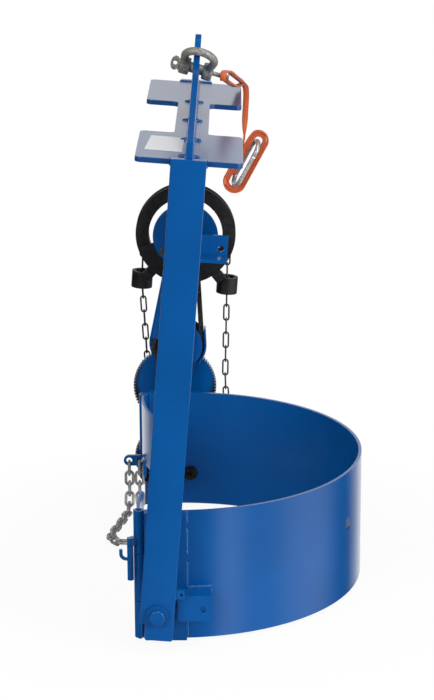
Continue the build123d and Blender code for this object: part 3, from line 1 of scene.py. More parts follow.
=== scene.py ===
# %% [markdown]
# # Hoist-mounted drum lifter
# The lifter hangs from a hoist by a shackle. A welded yoke carries a half band that cinches round a drum,
# and a hand chain tilts the band through a roller chain and three gears. The CAD model gives every rigid
# shape and its place; this lesson adds finishes, eased edges, weld beads, the webbing lanyard, the floor
# and the light.

from math import cos, pi, radians, sin, sqrt, tan

import bmesh
import bpy
from mathutils import Matrix, Vector


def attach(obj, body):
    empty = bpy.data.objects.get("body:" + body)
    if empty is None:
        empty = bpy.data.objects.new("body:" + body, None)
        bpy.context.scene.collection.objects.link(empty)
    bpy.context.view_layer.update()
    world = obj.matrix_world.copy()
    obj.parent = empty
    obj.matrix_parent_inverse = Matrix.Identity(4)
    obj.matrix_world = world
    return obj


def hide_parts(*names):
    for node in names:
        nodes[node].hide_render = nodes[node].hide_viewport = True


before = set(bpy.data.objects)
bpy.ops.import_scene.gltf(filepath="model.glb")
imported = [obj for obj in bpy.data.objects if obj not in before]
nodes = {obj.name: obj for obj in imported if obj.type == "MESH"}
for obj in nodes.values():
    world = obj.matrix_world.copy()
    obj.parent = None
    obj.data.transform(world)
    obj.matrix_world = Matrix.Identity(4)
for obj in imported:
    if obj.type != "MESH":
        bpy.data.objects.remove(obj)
scene = bpy.context.scene
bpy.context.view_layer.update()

# %% [markdown]
# ## Camera
# The camera comes first, because everything is compared with the photograph through it. Its angles were
# read from the straight edges of the two arms, the top plate and the rim of the band. The yoke leans back
# a little while the band stands level, so the camera is rolled by nearly the same angle in the yoke's own
# frame.

# %% Camera at the photograph's viewing angle
PHOTO_HEIGHT = 700
FOCAL_PIXELS = 2199.61
ELEVATION, AZIMUTH, ROLL = radians(16.30), radians(-0.86), radians(4.29)
DISTANCE = 3.49178
SENSOR = 36.0
TARGET = Vector((0.06396, 0.0, -0.4452))

back = Vector((sin(AZIMUTH) * cos(ELEVATION), -cos(AZIMUTH) * cos(ELEVATION), sin(ELEVATION)))
level_right = Vector((cos(AZIMUTH), sin(AZIMUTH), 0.0))
level_up = back.cross(level_right)
right = level_right * cos(ROLL) + level_up * sin(ROLL)
upward = level_up * cos(ROLL) - level_right * sin(ROLL)

camera_data = bpy.data.cameras.new("photo_camera")
camera_data.sensor_width = SENSOR
camera_data.lens = FOCAL_PIXELS * SENSOR / PHOTO_HEIGHT
camera_data.clip_start, camera_data.clip_end = 0.1, 30.0
camera = bpy.data.objects.new("photo_camera", camera_data)
turn = Matrix((right, upward, back)).transposed().to_4x4()
camera.matrix_world = Matrix.Translation(TARGET + back * DISTANCE) @ turn
scene.collection.objects.link(camera)
scene.camera = camera
print("lens", round(camera_data.lens, 2), "mm at", [round(v, 3) for v in camera.location])

# %% [markdown]
# ## Lanyard webbing: its line
# An orange flat strap is doubled round the tail of the shackle pin, goes over the rear corner of the top
# plate, hangs down and is wound into a hank with a carabiner inside. Its middle line is one NURBS spline.
# The free run repeats the CAD route. Each turn of the hank has twelve control points: two on each straight
# side and four round each end, set a little outside the bend because the spline cuts inside its corners.

# %% Route of the webbing
PLATE_TOP = -0.076
STRAP_WIDTH, STRAP_THICK = 0.0100, 0.0035
HANK_CENTRE = Vector((0.0954, 0.326, -0.2036))
HANK_LEAN = radians(24.0)
hank_side = Vector((cos(HANK_LEAN), 0, -sin(HANK_LEAN)))
hank_up = Vector((sin(HANK_LEAN), 0, cos(HANK_LEAN)))
free_run = [
    (0.0740, 0.2920, PLATE_TOP + 0.0085), (0.0680, 0.2300, PLATE_TOP + 0.0140),
    (0.0580, 0.1400, PLATE_TOP + 0.0320), (0.0480, 0.0500, PLATE_TOP + 0.0520),
    (0.0441, 0.0100, -0.0146), (0.0421, -0.0057, -0.0146),
    (0.0421, -0.0057, -0.0032), (0.0441, 0.0120, -0.0032),
    (0.0520, 0.0600, PLATE_TOP + 0.0660), (0.0620, 0.1500, PLATE_TOP + 0.0440),
    (0.0720, 0.2400, PLATE_TOP + 0.0240), (0.0780, 0.3040, PLATE_TOP + 0.0090),
    (0.0860, 0.3220, PLATE_TOP - 0.0020), (0.0865, 0.3250, PLATE_TOP - 0.0550),
]
print("free run", len(free_run), "control points")


# %% Turns of the hank
def on_hank(across, along):
    return HANK_CENTRE + hank_side * across + hank_up * along


def hank_turn(outer, inner, half):
    """Down the left side, round the bottom, up the right side and over the top, in metres."""
    low_middle, low_radius = (inner - outer) / 2, (inner + outer) / 2
    corner = tan(pi / 8)
    straight = half - 0.006
    points = [(-outer, -0.012), (-outer, -straight)]
    points += [(low_middle - low_radius, -half - corner * low_radius),
               (low_middle - corner * low_radius, -half - low_radius),
               (low_middle + corner * low_radius, -half - low_radius),
               (low_middle + low_radius, -half - corner * low_radius)]
    points += [(inner, -straight), (inner, straight)]
    points += [(inner, half + corner * inner), (corner * inner, half + inner),
               (-corner * inner, half + inner), (-inner, half + corner * inner)]
    return [on_hank(*point) for point in points]


LAYERS = (0.0198, 0.0162, 0.0126, 0.0090)
HALF_LENGTHS = (0.0405, 0.0401, 0.0406)
route = [Vector(point) for point in free_run] + [on_hank(-LAYERS[0], 0.028), on_hank(-LAYERS[0], 0.014)]
for outer, inner, half in zip(LAYERS, LAYERS[1:], HALF_LENGTHS):
    route += hank_turn(outer, inner, half)
route += [on_hank(-LAYERS[-1], 0.020), on_hank(-LAYERS[-1], -0.032)]
print("whole route", len(route), "control points")


# %% One smooth line
def smooth_line(points, steps):
    """Points along a NURBS spline of order 3 with these control points."""
    curve = bpy.data.curves.new("route", "CURVE")
    curve.dimensions = "3D"
    spline = curve.splines.new("NURBS")
    spline.points.add(len(points) - 1)
    for control, place in zip(spline.points, points):
        control.co = (*place, 1.0)
    spline.order_u = 3
    spline.use_endpoint_u = True
    spline.resolution_u = steps
    carrier = bpy.data.objects.new("route", curve)
    mesh = bpy.data.meshes.new_from_object(carrier)
    line = [vertex.co.copy() for vertex in mesh.vertices]
    bpy.data.meshes.remove(mesh)
    bpy.data.objects.remove(carrier)
    bpy.data.curves.remove(curve)
    return line


strap_line = smooth_line(route, 10)
strap_length = sum((b - a).length for a, b in zip(strap_line, strap_line[1:]))
print("webbing", len(strap_line), "places,", round(strap_length, 3), "m")

# %% [markdown]
# ## Lanyard webbing: its mesh
# Webbing is flat, so a round bevel would look like rope. A ten-sided section with a slight crown is
# carried along the line. Its width lies along the pin on the free run and turns a quarter before the hank,
# where every layer stands on edge. A UV map runs along and across it, in metres, for the weave.

# %% A section carried along a line
SECTION = [(-1.0, -0.45), (-0.86, -0.92), (0.0, -1.0), (0.86, -0.92), (1.0, -0.45),
           (1.0, 0.45), (0.86, 0.92), (0.0, 1.0), (-0.86, 0.92), (-1.0, 0.45)]


def new_piece(name, mesh, body, material=None):
    """An object in the scene that rides on one of the bodies."""
    piece = bpy.data.objects.new(name, mesh)
    scene.collection.objects.link(piece)
    if material:
        mesh.materials.clear()
        mesh.materials.append(material)
    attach(piece, body)
    return piece


def sweep_strap(name, line, twist):
    """A closed flat tube along the line; twist(place, share) gives the way its width points."""
    build = bmesh.new()
    uv = build.loops.layers.uv.new("weave")
    rings, along = [], [0.0]
    for a, b in zip(line, line[1:]):
        along.append(along[-1] + (b - a).length)
    for index, place in enumerate(line):
        ahead = line[min(index + 1, len(line) - 1)] - line[max(index - 1, 0)]
        ahead.normalize()
        wide = twist(place, along[index] / along[-1])
        wide = (wide - ahead * wide.dot(ahead)).normalized()
        out = ahead.cross(wide)
        rings.append([build.verts.new(place + wide * (u * STRAP_WIDTH / 2) + out * (v * STRAP_THICK / 2))
                      for u, v in SECTION])
    count = len(SECTION)
    for index in range(len(rings) - 1):
        for side in range(count):
            after = (side + 1) % count
            face = build.faces.new((rings[index][side], rings[index][after], rings[index + 1][after],
                                    rings[index + 1][side]))
            face.smooth = True
            ends = (along[index], along[index], along[index + 1], along[index + 1])
            for loop, far, corner in zip(face.loops, ends, (side, after, after, side)):
                loop[uv].uv = (far, SECTION[corner][0] * STRAP_WIDTH / 2)
    build.faces.new(rings[0][::-1])
    build.faces.new(rings[-1])
    bmesh.ops.recalc_face_normals(build, faces=build.faces)
    mesh = bpy.data.meshes.new(name)
    build.to_mesh(mesh)
    build.free()
    return mesh


# %% The webbing, with a quarter turn before the hank
TWIST_FROM, TWIST_TO = PLATE_TOP - 0.050, -0.160
above_twist = [(b - a).length for a, b in zip(strap_line, strap_line[1:]) if b.z > TWIST_FROM]
hank_starts = sum(above_twist) / strap_length
FREE_SHARE, TWIST_SHARE = 0.6, 0.06
HANK_FACE = 0.3255


def strap_way(place, share):
    """Across the strap: along the pin on the free run, then a quarter turn, then along Y in the hank."""
    if place.z > TWIST_FROM and place.y < HANK_FACE and share < FREE_SHARE:
        return Vector((1, 0, 0))
    turned = 1.0
    if share < hank_starts + TWIST_SHARE:
        turned = min(1.0, max(0.0, (TWIST_FROM - place.z) / (TWIST_FROM - TWIST_TO)))
    return Vector((cos(turned * pi / 2), sin(turned * pi / 2), 0))


webbing = new_piece("lanyard_webbing", sweep_strap("lanyard_webbing", strap_line, strap_way), "yoke")
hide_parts("lanyard_strap", "lanyard_hank")
print("webbing faces", len(webbing.data.polygons))

# %% [markdown]
# ## A small language for materials
# Shader maths reads best as plain expressions. One class wraps a socket: arithmetic on it adds Math nodes,
# and one method makes any other node. What varies over a surface feeds only colour, roughness, metal, coat
# or a bump.


# %% Socket arithmetic
class Wire:
    """A socket in a material's node tree that can be used in expressions."""

    def __init__(self, tree, socket):
        self.tree, self.socket = tree, socket

    def node(self, kind, settings=None, inputs=None, output=0):
        made = self.tree.nodes.new(kind)
        for name, value in (settings or {}).items():
            setattr(made, name, value)
        for key, value in (inputs or {}).items():
            if isinstance(value, Wire):
                self.tree.links.new(value.socket, made.inputs[key])
            else:
                made.inputs[key].default_value = value
        return Wire(self.tree, made.outputs[output])

    def math(self, operation, first, second=None):
        inputs = {0: first} if second is None else {0: first, 1: second}
        return self.node("ShaderNodeMath", {"operation": operation}, inputs)

    def __add__(self, other):
        return self.math("ADD", self, other)

    __radd__ = __add__

    def __sub__(self, other):
        return self.math("SUBTRACT", self, other)

    def __rsub__(self, other):
        return self.math("SUBTRACT", other, self)

    def __mul__(self, other):
        return self.math("MULTIPLY", self, other)

    __rmul__ = __mul__

    def between(self, low, high):
        """0 below low, 1 above high, smooth between."""
        return self.node("ShaderNodeMapRange", {"interpolation_type": "SMOOTHSTEP"},
                         {"Value": self, "From Min": low, "From Max": high, "To Min": 0.0, "To Max": 1.0})

    def mix(self, low, high):
        """Colour low where this is 0 and colour high where it is 1."""
        return self.node("ShaderNodeMix", {"data_type": "RGBA"}, {0: self, 6: low, 7: high}, output=2)


print("sockets can be added, subtracted, multiplied and mixed")


# %% Helpers that every finish shares
def finish_of(name):
    """An empty material: itself, its Principled node, and Object and UV coordinates to start from."""
    material = bpy.data.materials.new(name)
    material.use_nodes = True
    tree = material.node_tree
    shader = tree.nodes["Principled BSDF"]
    coordinate = tree.nodes.new("ShaderNodeTexCoord")
    return material, shader, Wire(tree, coordinate.outputs["Object"]), Wire(tree, coordinate.outputs["UV"])


def noise(place, scale, detail=2.0, rough=0.5):
    inputs = {"Vector": place, "Scale": scale, "Detail": detail, "Roughness": rough}
    return place.node("ShaderNodeTexNoise", None, inputs)


def feed(shader, tree_wire, colour, roughness, metallic, bump=None, bump_depth=0.0001, bump_strength=1.0):
    """Link or set the varying values of a Principled node."""
    links = tree_wire.tree.links
    for key, value in (("Base Color", colour), ("Roughness", roughness), ("Metallic", metallic)):
        if isinstance(value, Wire):
            links.new(value.socket, shader.inputs[key])
        else:
            shader.inputs[key].default_value = value
    if bump is not None:
        relief = tree_wire.node("ShaderNodeBump", None,
                                {"Height": bump, "Distance": bump_depth, "Strength": bump_strength})
        links.new(relief.socket, shader.inputs["Normal"])


print("material language ready")

# %% [markdown]
# ## Blue enamel
# The yoke, band and brackets are sprayed in one glossy blue. The paint has a fine orange-peel ripple, slow
# changes of depth from coat thickness, and a clear skin that turns nearly white at grazing angles. The
# skin is duller on the top plate, where only what lies close is mirrored, and the top plate's blue is
# darkened as painted shade though it is the same paint. Gears get a black film of grease near their teeth,
# so their finish also reads how far a point is from the shaft.

# %% Paint for plates and paint for gears
BLUE = (0.0004, 0.089, 0.330, 1.0)
DEEP_BLUE = (0.0003, 0.078, 0.294, 1.0)


def enamel(name, grease=None, coat_roughness=0.21, coat_ior=1.45, depth=1.0):
    """Glossy blue; a depth below 1 darkens the colour under the clear skin, painting shade into it."""
    material, shader, place, _ = finish_of(name)
    cloud = noise(place, 9.0, 3.0)
    peel = noise(place, 620.0, 1.0)
    speck = noise(place, 2400.0, 1.0).between(0.66, 0.74)
    thin, thick = [(*(channel * depth for channel in tone[:3]), 1.0) for tone in (BLUE, DEEP_BLUE)]
    colour = cloud.between(0.35, 0.7).mix(thin, thick)
    colour = (speck * 0.25).mix(colour, (0.004, 0.105, 0.36, 1.0))
    rough = 0.20 + cloud * 0.10
    if grease:
        centre_z, start, end = grease
        offset = place.node("ShaderNodeVectorMath", {"operation": "MULTIPLY_ADD"},
                            {0: place, 1: (1.0, 0.0, 1.0), 2: (0.0, 0.0, -centre_z)})
        away = place.node("ShaderNodeVectorMath", {"operation": "LENGTH"}, {0: offset}, output=1)
        split = place.node("ShaderNodeSeparateXYZ", None, {0: offset}).socket.node
        height = Wire(place.tree, split.outputs[2])
        film = (away - height * 0.22 + noise(place, 60.0, 3.0) * 0.008).between(start, end)
        colour = film.mix(colour, (0.010, 0.011, 0.014, 1.0))
        rough = rough + film * 0.22
    feed(shader, place, colour, rough, 0.0, peel, 0.00006, 0.35)
    shader.inputs["Specular IOR Level"].default_value = 0.1
    shader.inputs["Coat Weight"].default_value = 1.0
    shader.inputs["Coat Roughness"].default_value = coat_roughness
    shader.inputs["Coat IOR"].default_value = coat_ior
    return material


blue_enamel = enamel("blue_enamel")
# The top plate is the same blue paint, darkened by depth 0.74 as painted shade, with a duller skin.
plate_painted_shade_enamel = enamel("plate_painted_shade_enamel", coat_roughness=0.32, coat_ior=1.56, depth=0.74)
AXIS_Z, IDLER_Z = -0.7594, -0.6262
tilt_gear_paint = enamel("tilt_gear_paint", (AXIS_Z, 0.050, 0.064))
idler_gear_paint = enamel("idler_gear_paint", (IDLER_Z, 0.062, 0.076))
print("blue finishes ready")

# %% [markdown]
# ## Metals, black castings, webbing and label
# The hand-chain wheel and its guide are black iron with a sand-cast skin. The shackle and the cinch chain
# are dull galvanized steel, mottled by the zinc. The drive chains are dark and oily, shafts are turned
# steel, bushes are bronze, bolts are black, and the carabiner is bright. The webbing weave is made from
# waves on its own UV map.


# %% Metal finishes
def metal(name, light, dark, metallic, rough, grain, depth, mottle=140.0):
    """Two tones in a cloud of the mottle's scale, with a fine grain as a bump."""
    material, shader, place, _ = finish_of(name)
    cloud = noise(place, mottle, 4.0, 0.6)
    fine = noise(place, grain, 3.0, 0.6)
    colour = cloud.between(0.3, 0.7).mix((*dark, 1.0), (*light, 1.0))
    feed(shader, place, colour, rough - 0.06 + cloud * 0.14, metallic, fine, depth, 0.6)
    return material


black_casting = metal("black_casting", (0.016, 0.016, 0.018), (0.007, 0.007, 0.008), 0.0, 0.46, 900.0,
                      0.00030)
black_bolt = metal("black_bolt", (0.045, 0.044, 0.045), (0.018, 0.018, 0.019), 0.6, 0.34, 1500.0, 0.00008)
galvanized = metal("galvanized", (0.42, 0.42, 0.38), (0.20, 0.198, 0.175),
                   0.35, 0.50, 1100.0, 0.00025, 220.0)
bright_zinc = metal("bright_zinc", (0.52, 0.52, 0.51), (0.26, 0.26, 0.255),
                    0.45, 0.36, 1100.0, 0.00012, 260.0)
dark_chain = metal("dark_chain", (0.17, 0.165, 0.155), (0.05, 0.048, 0.045),
                   0.8, 0.36, 1400.0, 0.00010, 200.0)
turned_steel = metal("turned_steel", (0.52, 0.52, 0.52), (0.36, 0.36, 0.37), 0.95, 0.30, 2600.0, 0.00005)
bronze = metal("bronze", (0.48, 0.33, 0.16), (0.34, 0.22, 0.10), 0.95, 0.36, 1800.0, 0.00006)
polished = metal("polished", (0.74, 0.75, 0.75), (0.46, 0.47, 0.48), 0.55, 0.24, 1200.0, 0.00004, 300.0)
print("metal finishes ready")


# %% Woven webbing and plain label
def woven_webbing():
    material, shader, place, uv = finish_of("orange_webbing")
    along = uv.node("ShaderNodeSeparateXYZ", None, {0: uv})
    across = Wire(uv.tree, along.socket.node.outputs[1])
    pick_pitch, slant_pitch, warp_pitch = 0.0021, 0.0042, 0.0012
    pick = uv.math("SINE", along * (2 * pi / pick_pitch) + across * (2 * pi / slant_pitch))
    warp = uv.math("SINE", across * (2 * pi / warp_pitch))
    rib = uv.math("ABSOLUTE", pick) * 0.6 + uv.math("ABSOLUTE", warp) * 0.4
    edge = uv.math("ABSOLUTE", across).between(0.0037, 0.0048)
    wear = noise(place, 160.0, 3.0)
    colour = rib.between(0.15, 0.75).mix((0.46, 0.060, 0.010, 1.0), (0.86, 0.150, 0.030, 1.0))
    colour = (edge * 0.35).mix(colour, (0.42, 0.050, 0.008, 1.0))
    colour = (wear.between(0.58, 0.8) * 0.25).mix(colour, (0.92, 0.24, 0.075, 1.0))
    feed(shader, place, colour, 0.62 + wear * 0.15, 0.0, rib, 0.0005, 0.8)
    shader.inputs["Sheen Weight"].default_value = 0.25
    return material


def plain_label():
    material, shader, place, _ = finish_of("blank_label")
    fibre = noise(place, 420.0, 3.0)
    feed(shader, place, fibre.mix((0.86, 0.86, 0.85, 1.0), (0.94, 0.94, 0.93, 1.0)), 0.42 + fibre * 0.1, 0.0,
         fibre, 0.00004, 0.3)
    return material


orange_webbing = woven_webbing()
blank_label = plain_label()
webbing.data.materials.append(orange_webbing)
print("materials", len(bpy.data.materials))

# %% [markdown]
# ## Eased edges
# A flame-cut or sheared plate never has a knife edge under paint: its corners are rounded by grinding and
# by the paint itself, and that is where the thin highlights come from. A copy of each plate's CAD mesh is
# merged, its flat triangles are joined, and every sharp edge gets a small bevel. The copy then stands for
# the CAD node.


# %% A copy of a plate with rounded edges
def flat_faces_first(mesh):
    """A copy whose normals follow the large faces, so that a flat plate reflects flatly up to its bevel."""
    carrier = bpy.data.objects.new("carrier", mesh)
    scene.collection.objects.link(carrier)
    weighting = carrier.modifiers.new("weighting", "WEIGHTED_NORMAL")
    weighting.keep_sharp = True
    weighting.weight = 100
    depsgraph = bpy.context.evaluated_depsgraph_get()
    made = bpy.data.meshes.new_from_object(carrier.evaluated_get(depsgraph), preserve_all_data_layers=True,
                                           depsgraph=depsgraph)
    bpy.data.objects.remove(carrier)
    bpy.data.meshes.remove(mesh)
    return made


BEVELLED_FROM, SHARP_FROM = radians(38), radians(32)


def eased(node, body, material, width, segments=2):
    """A copy of a node with its sharp edges rounded, standing for that node."""
    build = bmesh.new()
    build.from_mesh(nodes[node].data)
    bmesh.ops.remove_doubles(build, verts=build.verts, dist=1e-6)
    bmesh.ops.dissolve_limit(build, angle_limit=radians(0.6), verts=build.verts, edges=build.edges)
    sharp = [edge for edge in build.edges
             if len(edge.link_faces) == 2 and edge.calc_face_angle(0.0) > BEVELLED_FROM]
    bmesh.ops.bevel(build, geom=sharp, offset=width, segments=segments, profile=0.5, affect="EDGES",
                    clamp_overlap=True, loop_slide=True)
    for face in build.faces:
        face.smooth = True
    for edge in build.edges:
        if len(edge.link_faces) == 2 and edge.calc_face_angle(0.0) > SHARP_FROM:
            edge.smooth = False
    mesh = bpy.data.meshes.new(node + "_bevelled")
    build.to_mesh(mesh)
    build.free()
    piece = new_piece(node + "_eased", flat_faces_first(mesh), body, material)
    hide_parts(node)
    return piece


# %% Ease every plate
PLATES = {
    "yoke": ("near_arm", "far_arm", "top_plate", "lifting_lug", "arm_bracket", "lock_tab", "drive_plate",
             "wheel_disc", "chain_guard"),
    "holder": ("saddle_band", "near_pad", "far_pad", "lock_bracket", "chain_anchor"),
    "leaf": ("far_leaf",),
    "lever": ("cinch_lever",),
}
EASING = {"near_arm": 0.0011, "far_arm": 0.0011, "top_plate": 0.0012, "lifting_lug": 0.0010}
THIN_EASING = 0.0006
for body, names in PLATES.items():
    for name in names:
        # The top plate takes the darkened copy of the blue, a painted shade.
        paint = plate_painted_shade_enamel if name == "top_plate" else blue_enamel
        piece = eased(name, body, paint, EASING.get(name, THIN_EASING))
        print(name, "faces", len(piece.data.polygons))

# %% [markdown]
# ## Forged shackle
# The bow of the shackle is a forging: its legs run into the ears with no edge anywhere. A bevel can't
# follow the curves where a round bar meets a round ear, so a copy of the bow is made of small even squares
# and then smoothed.


# %% Remesh and smooth the bow
def forged(node, body, material, square, rounds):
    """A copy of a node with every edge melted, standing for that node; square is the size of its faces."""
    carrier = bpy.data.objects.new("carrier", nodes[node].data.copy())
    scene.collection.objects.link(carrier)
    squares = carrier.modifiers.new("squares", "REMESH")
    squares.mode = "VOXEL"
    squares.voxel_size = square
    squares.use_smooth_shade = True
    melted = carrier.modifiers.new("melted", "SMOOTH")
    melted.factor = 0.5
    melted.iterations = rounds
    depsgraph = bpy.context.evaluated_depsgraph_get()
    mesh = bpy.data.meshes.new_from_object(carrier.evaluated_get(depsgraph))
    mesh.name = node + "_forged"
    bpy.data.objects.remove(carrier)
    piece = new_piece(node + "_forged", mesh, body, material)
    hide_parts(node)
    return piece


forged_bow = forged("shackle_bow", "bow", galvanized, 0.0007, 64)
print("shackle bow faces", len(forged_bow.data.polygons))

# %% [markdown]
# ## Finishes on the CAD nodes
# The other rigid nodes keep their CAD shape and only take a finish.

# %% Give every remaining node its material
FINISHES = {
    blue_enamel: ("near_pivot", "pivot_washer", "pivot_bolt", "near_hinge_pin", "far_hinge_pin", "hook_pin",
                  "grab_hook"),
    tilt_gear_paint: ("tilt_gear",),
    idler_gear_paint: ("idler_gear",),
    black_casting: ("pocket_wheel", "chain_guide"),
    black_bolt: ("flange_bolts", "flange_washers", "disc_bolts", "wheel_nut", "lay_nut", "tilt_nut",
                 "driven_sprocket", "drive_sprocket", "pinion"),
    dark_chain: ("hand_chain", "roller_chain"),
    turned_steel: ("disc_spacers", "idler_pin", "wheel_shaft", "lay_shaft", "tilt_shaft", "guide_bolts"),
    galvanized: ("shackle_pin",),
    bright_zinc: ("cinch_chain",),
    bronze: ("near_bush", "far_bush", "drive_bushes"),
    polished: ("carabiner_body", "carabiner_gate"),
}
for material, names in FINISHES.items():
    for name in names:
        nodes[name].data.materials.clear()
        nodes[name].data.materials.append(material)
print("finished nodes", sum(len(names) for names in FINISHES.values()))

# %% [markdown]
# ## Weld beads
# The yoke is welded: long beads along the foot of the lug with a blob across each gap between them, full
# beads where the plate meets the arms, and upright beads where the pads meet the band. A bead is a row of
# overlapping solidified drops. Geometry Nodes sets drops along each path, because spacing, size and a little
# unevenness are then three numbers.


# %% Geometry Nodes tree for a row of weld drops
def weld_tree(material):
    tree = bpy.data.node_groups.new("weld_beads", "GeometryNodeTree")
    interface = tree.interface
    interface.new_socket("Geometry", in_out="INPUT", socket_type="NodeSocketGeometry")
    for name, value in (("Spacing", 0.0019), ("Drop Radius", 0.0024)):
        socket = interface.new_socket(name, in_out="INPUT", socket_type="NodeSocketFloat")
        socket.default_value = value
    interface.new_socket("Geometry", in_out="OUTPUT", socket_type="NodeSocketGeometry")
    add, link = tree.nodes.new, tree.links.new
    source, sink = add("NodeGroupInput"), add("NodeGroupOutput")
    points = add("GeometryNodeCurveToPoints")
    points.mode = "LENGTH"
    drop = add("GeometryNodeMeshIcoSphere")
    drop.inputs["Subdivisions"].default_value = 2
    uneven = add("FunctionNodeRandomValue")
    uneven.data_type = "FLOAT_VECTOR"
    uneven.inputs[0].default_value = (0.55, 0.85, 0.85)
    uneven.inputs[1].default_value = (0.75, 1.12, 1.12)
    uneven.inputs["Seed"].default_value = 11
    instances = add("GeometryNodeInstanceOnPoints")
    real = add("GeometryNodeRealizeInstances")
    paint = add("GeometryNodeSetMaterial")
    smooth = add("GeometryNodeSetShadeSmooth")
    paint.inputs["Material"].default_value = material
    link(source.outputs["Geometry"], points.inputs["Curve"])
    link(source.outputs["Spacing"], points.inputs["Length"])
    link(source.outputs["Drop Radius"], drop.inputs["Radius"])
    link(points.outputs["Points"], instances.inputs["Points"])
    link(points.outputs["Rotation"], instances.inputs["Rotation"])
    link(drop.outputs["Mesh"], instances.inputs["Instance"])
    link(uneven.outputs[0], instances.inputs["Scale"])
    link(instances.outputs["Instances"], real.inputs["Geometry"])
    link(real.outputs["Geometry"], smooth.inputs["Geometry"])
    link(smooth.outputs["Geometry"], paint.inputs["Geometry"])
    link(paint.outputs["Geometry"], sink.inputs["Geometry"])
    return tree


beads = weld_tree(blue_enamel)
print("weld tree nodes", len(beads.nodes))


# %% Run the tree along drawn paths
def run_tree(name, tree, paths, body, settings):
    """Draw the paths as one curve object, run the tree on it and keep the result as a plain mesh."""
    curve = bpy.data.curves.new(name, "CURVE")
    curve.dimensions = "3D"
    for path in paths:
        spline = curve.splines.new("POLY")
        spline.points.add(len(path) - 1)
        for control, place in zip(spline.points, path):
            control.co = (*place, 1.0)
    carrier = bpy.data.objects.new(name + "_paths", curve)
    scene.collection.objects.link(carrier)
    modifier = carrier.modifiers.new("tree", "NODES")
    modifier.node_group = tree
    for item in tree.interface.items_tree:
        if item.in_out == "INPUT" and item.name in settings:
            modifier[item.identifier] = settings[item.name]
    bpy.context.view_layer.update()
    made = bpy.data.meshes.new_from_object(carrier.evaluated_get(bpy.context.evaluated_depsgraph_get()))
    made.name = name
    carrier.modifiers.remove(modifier)
    bpy.data.objects.remove(carrier)
    bpy.data.curves.remove(curve)
    return new_piece(name, made, body)


# %% Beads where plate, bracket and tab meet the arms
LUG_HALF, ARM_INNER, ARM_HALF, PLATE_THICK = 0.00475, 0.3316, 0.0254, 0.0079
BRACKET_RISE, TAB_RISE, TAB_ENDS = 0.423, 0.0275, (-0.3423, -0.3343)
BEAD_RISE = 0.0025
yoke_paths = []
for side in (-1, 1):
    for level in (PLATE_TOP, PLATE_TOP - PLATE_THICK):
        yoke_paths.append([(-ARM_HALF, side * ARM_INNER, level), (-LUG_HALF, side * ARM_INNER, level)])
        yoke_paths.append([(LUG_HALF, side * ARM_INNER, level), (ARM_HALF, side * ARM_INNER, level)])
    for face in (-LUG_HALF, LUG_HALF):
        foot = (face, side * ARM_INNER, PLATE_TOP)
        yoke_paths.append([foot, (face, side * ARM_INNER, PLATE_TOP + BEAD_RISE)])
bracket, tab = AXIS_Z + BRACKET_RISE, AXIS_Z + TAB_RISE
yoke_paths.append([(-ARM_HALF, ARM_INNER, bracket), (ARM_HALF, ARM_INNER, bracket)])
yoke_paths.append([(ARM_HALF, place, tab) for place in TAB_ENDS])
yoke_welds = run_tree("yoke_welds", beads, yoke_paths, "yoke", {"Spacing": 0.0019, "Drop Radius": 0.0023})
print("yoke weld faces", len(yoke_welds.data.polygons))

# %% Beads along the lug and a blob across each gap
LUG_RUNS = ((-0.326, -0.318), (-0.303, -0.191), (-0.177, -0.035), (-0.021, 0.130), (0.144, 0.326))
lug_paths = []
for side in (-1, 1):
    for start, end in LUG_RUNS:
        lug_paths.append([(side * LUG_HALF, start, PLATE_TOP), (side * LUG_HALF, end, PLATE_TOP)])
lug_welds = run_tree("lug_welds", beads, lug_paths, "yoke", {"Spacing": 0.0024, "Drop Radius": 0.0037})
GAPS = (-0.310, -0.184, -0.028, 0.137)
BLOB_NEAR, BLOB_FAR, BLOB_DROP = 0.006, 0.0120, 0.001
crater_paths = []
for side in (-1, 1):
    for gap in GAPS:
        outer_end = (side * BLOB_FAR, gap + BLOB_DROP, PLATE_TOP - BLOB_DROP)
        crater_paths.append([(side * BLOB_NEAR, gap, PLATE_TOP), outer_end])
weld_ends = run_tree("weld_ends", beads, crater_paths, "yoke", {"Spacing": 0.0030, "Drop Radius": 0.0043})
print("lug weld faces", len(lug_welds.data.polygons), "and", len(weld_ends.data.polygons))

# %% Beads on the holder, which stands level while the yoke leans
HOLDER_TILT = radians(4.38)
holder_x = Vector((cos(HOLDER_TILT), 0, sin(HOLDER_TILT)))
holder_z = Vector((-sin(HOLDER_TILT), 0, cos(HOLDER_TILT)))
BAND_RADIUS, BAND_OFFSET = 295.0, 24.0


def in_holder(x, y, z):
    """A place in the holder's own level frame, in millimetres, as a place in the row frame."""
    return holder_x * (x / 1000) + Vector((0, y / 1000, AXIS_Z)) + holder_z * (z / 1000)


def wall(x, side):
    """Y of the band's outside at x, on the near side (-1) or the far side (1)."""
    return side * sqrt(BAND_RADIUS ** 2 - (x - BAND_OFFSET) ** 2)


NEAR_EDGE, FAR_EDGES = 43.0, (-33.0, 54.0)
BOLT_RING, BOLT_FACE = 20.0, -304.5
holder_paths = []
for low, high in ((-53, 14), (28, 62), (80, 116), (130, 144)):
    place = wall(NEAR_EDGE, -1)
    holder_paths.append([in_holder(NEAR_EDGE, place, low), in_holder(NEAR_EDGE, place, high)])
for edge in FAR_EDGES:
    for low, high in ((-52, -20), (4, 36), (60, 92), (114, 142)):
        holder_paths.append([in_holder(edge, wall(edge, 1), low), in_holder(edge, wall(edge, 1), high)])
for height in (25.0, 18.6):
    holder_paths.append([in_holder(x, wall(x, -1), height) for x in (45, 53, 61, 70, 79)])
turns = [step * pi / 12 for step in range(25)]
holder_paths.append([in_holder(BOLT_RING * cos(turn), BOLT_FACE, BOLT_RING * sin(turn)) for turn in turns])
holder_welds = run_tree("holder_welds", beads, holder_paths, "holder",
                        {"Spacing": 0.0026, "Drop Radius": 0.0031})
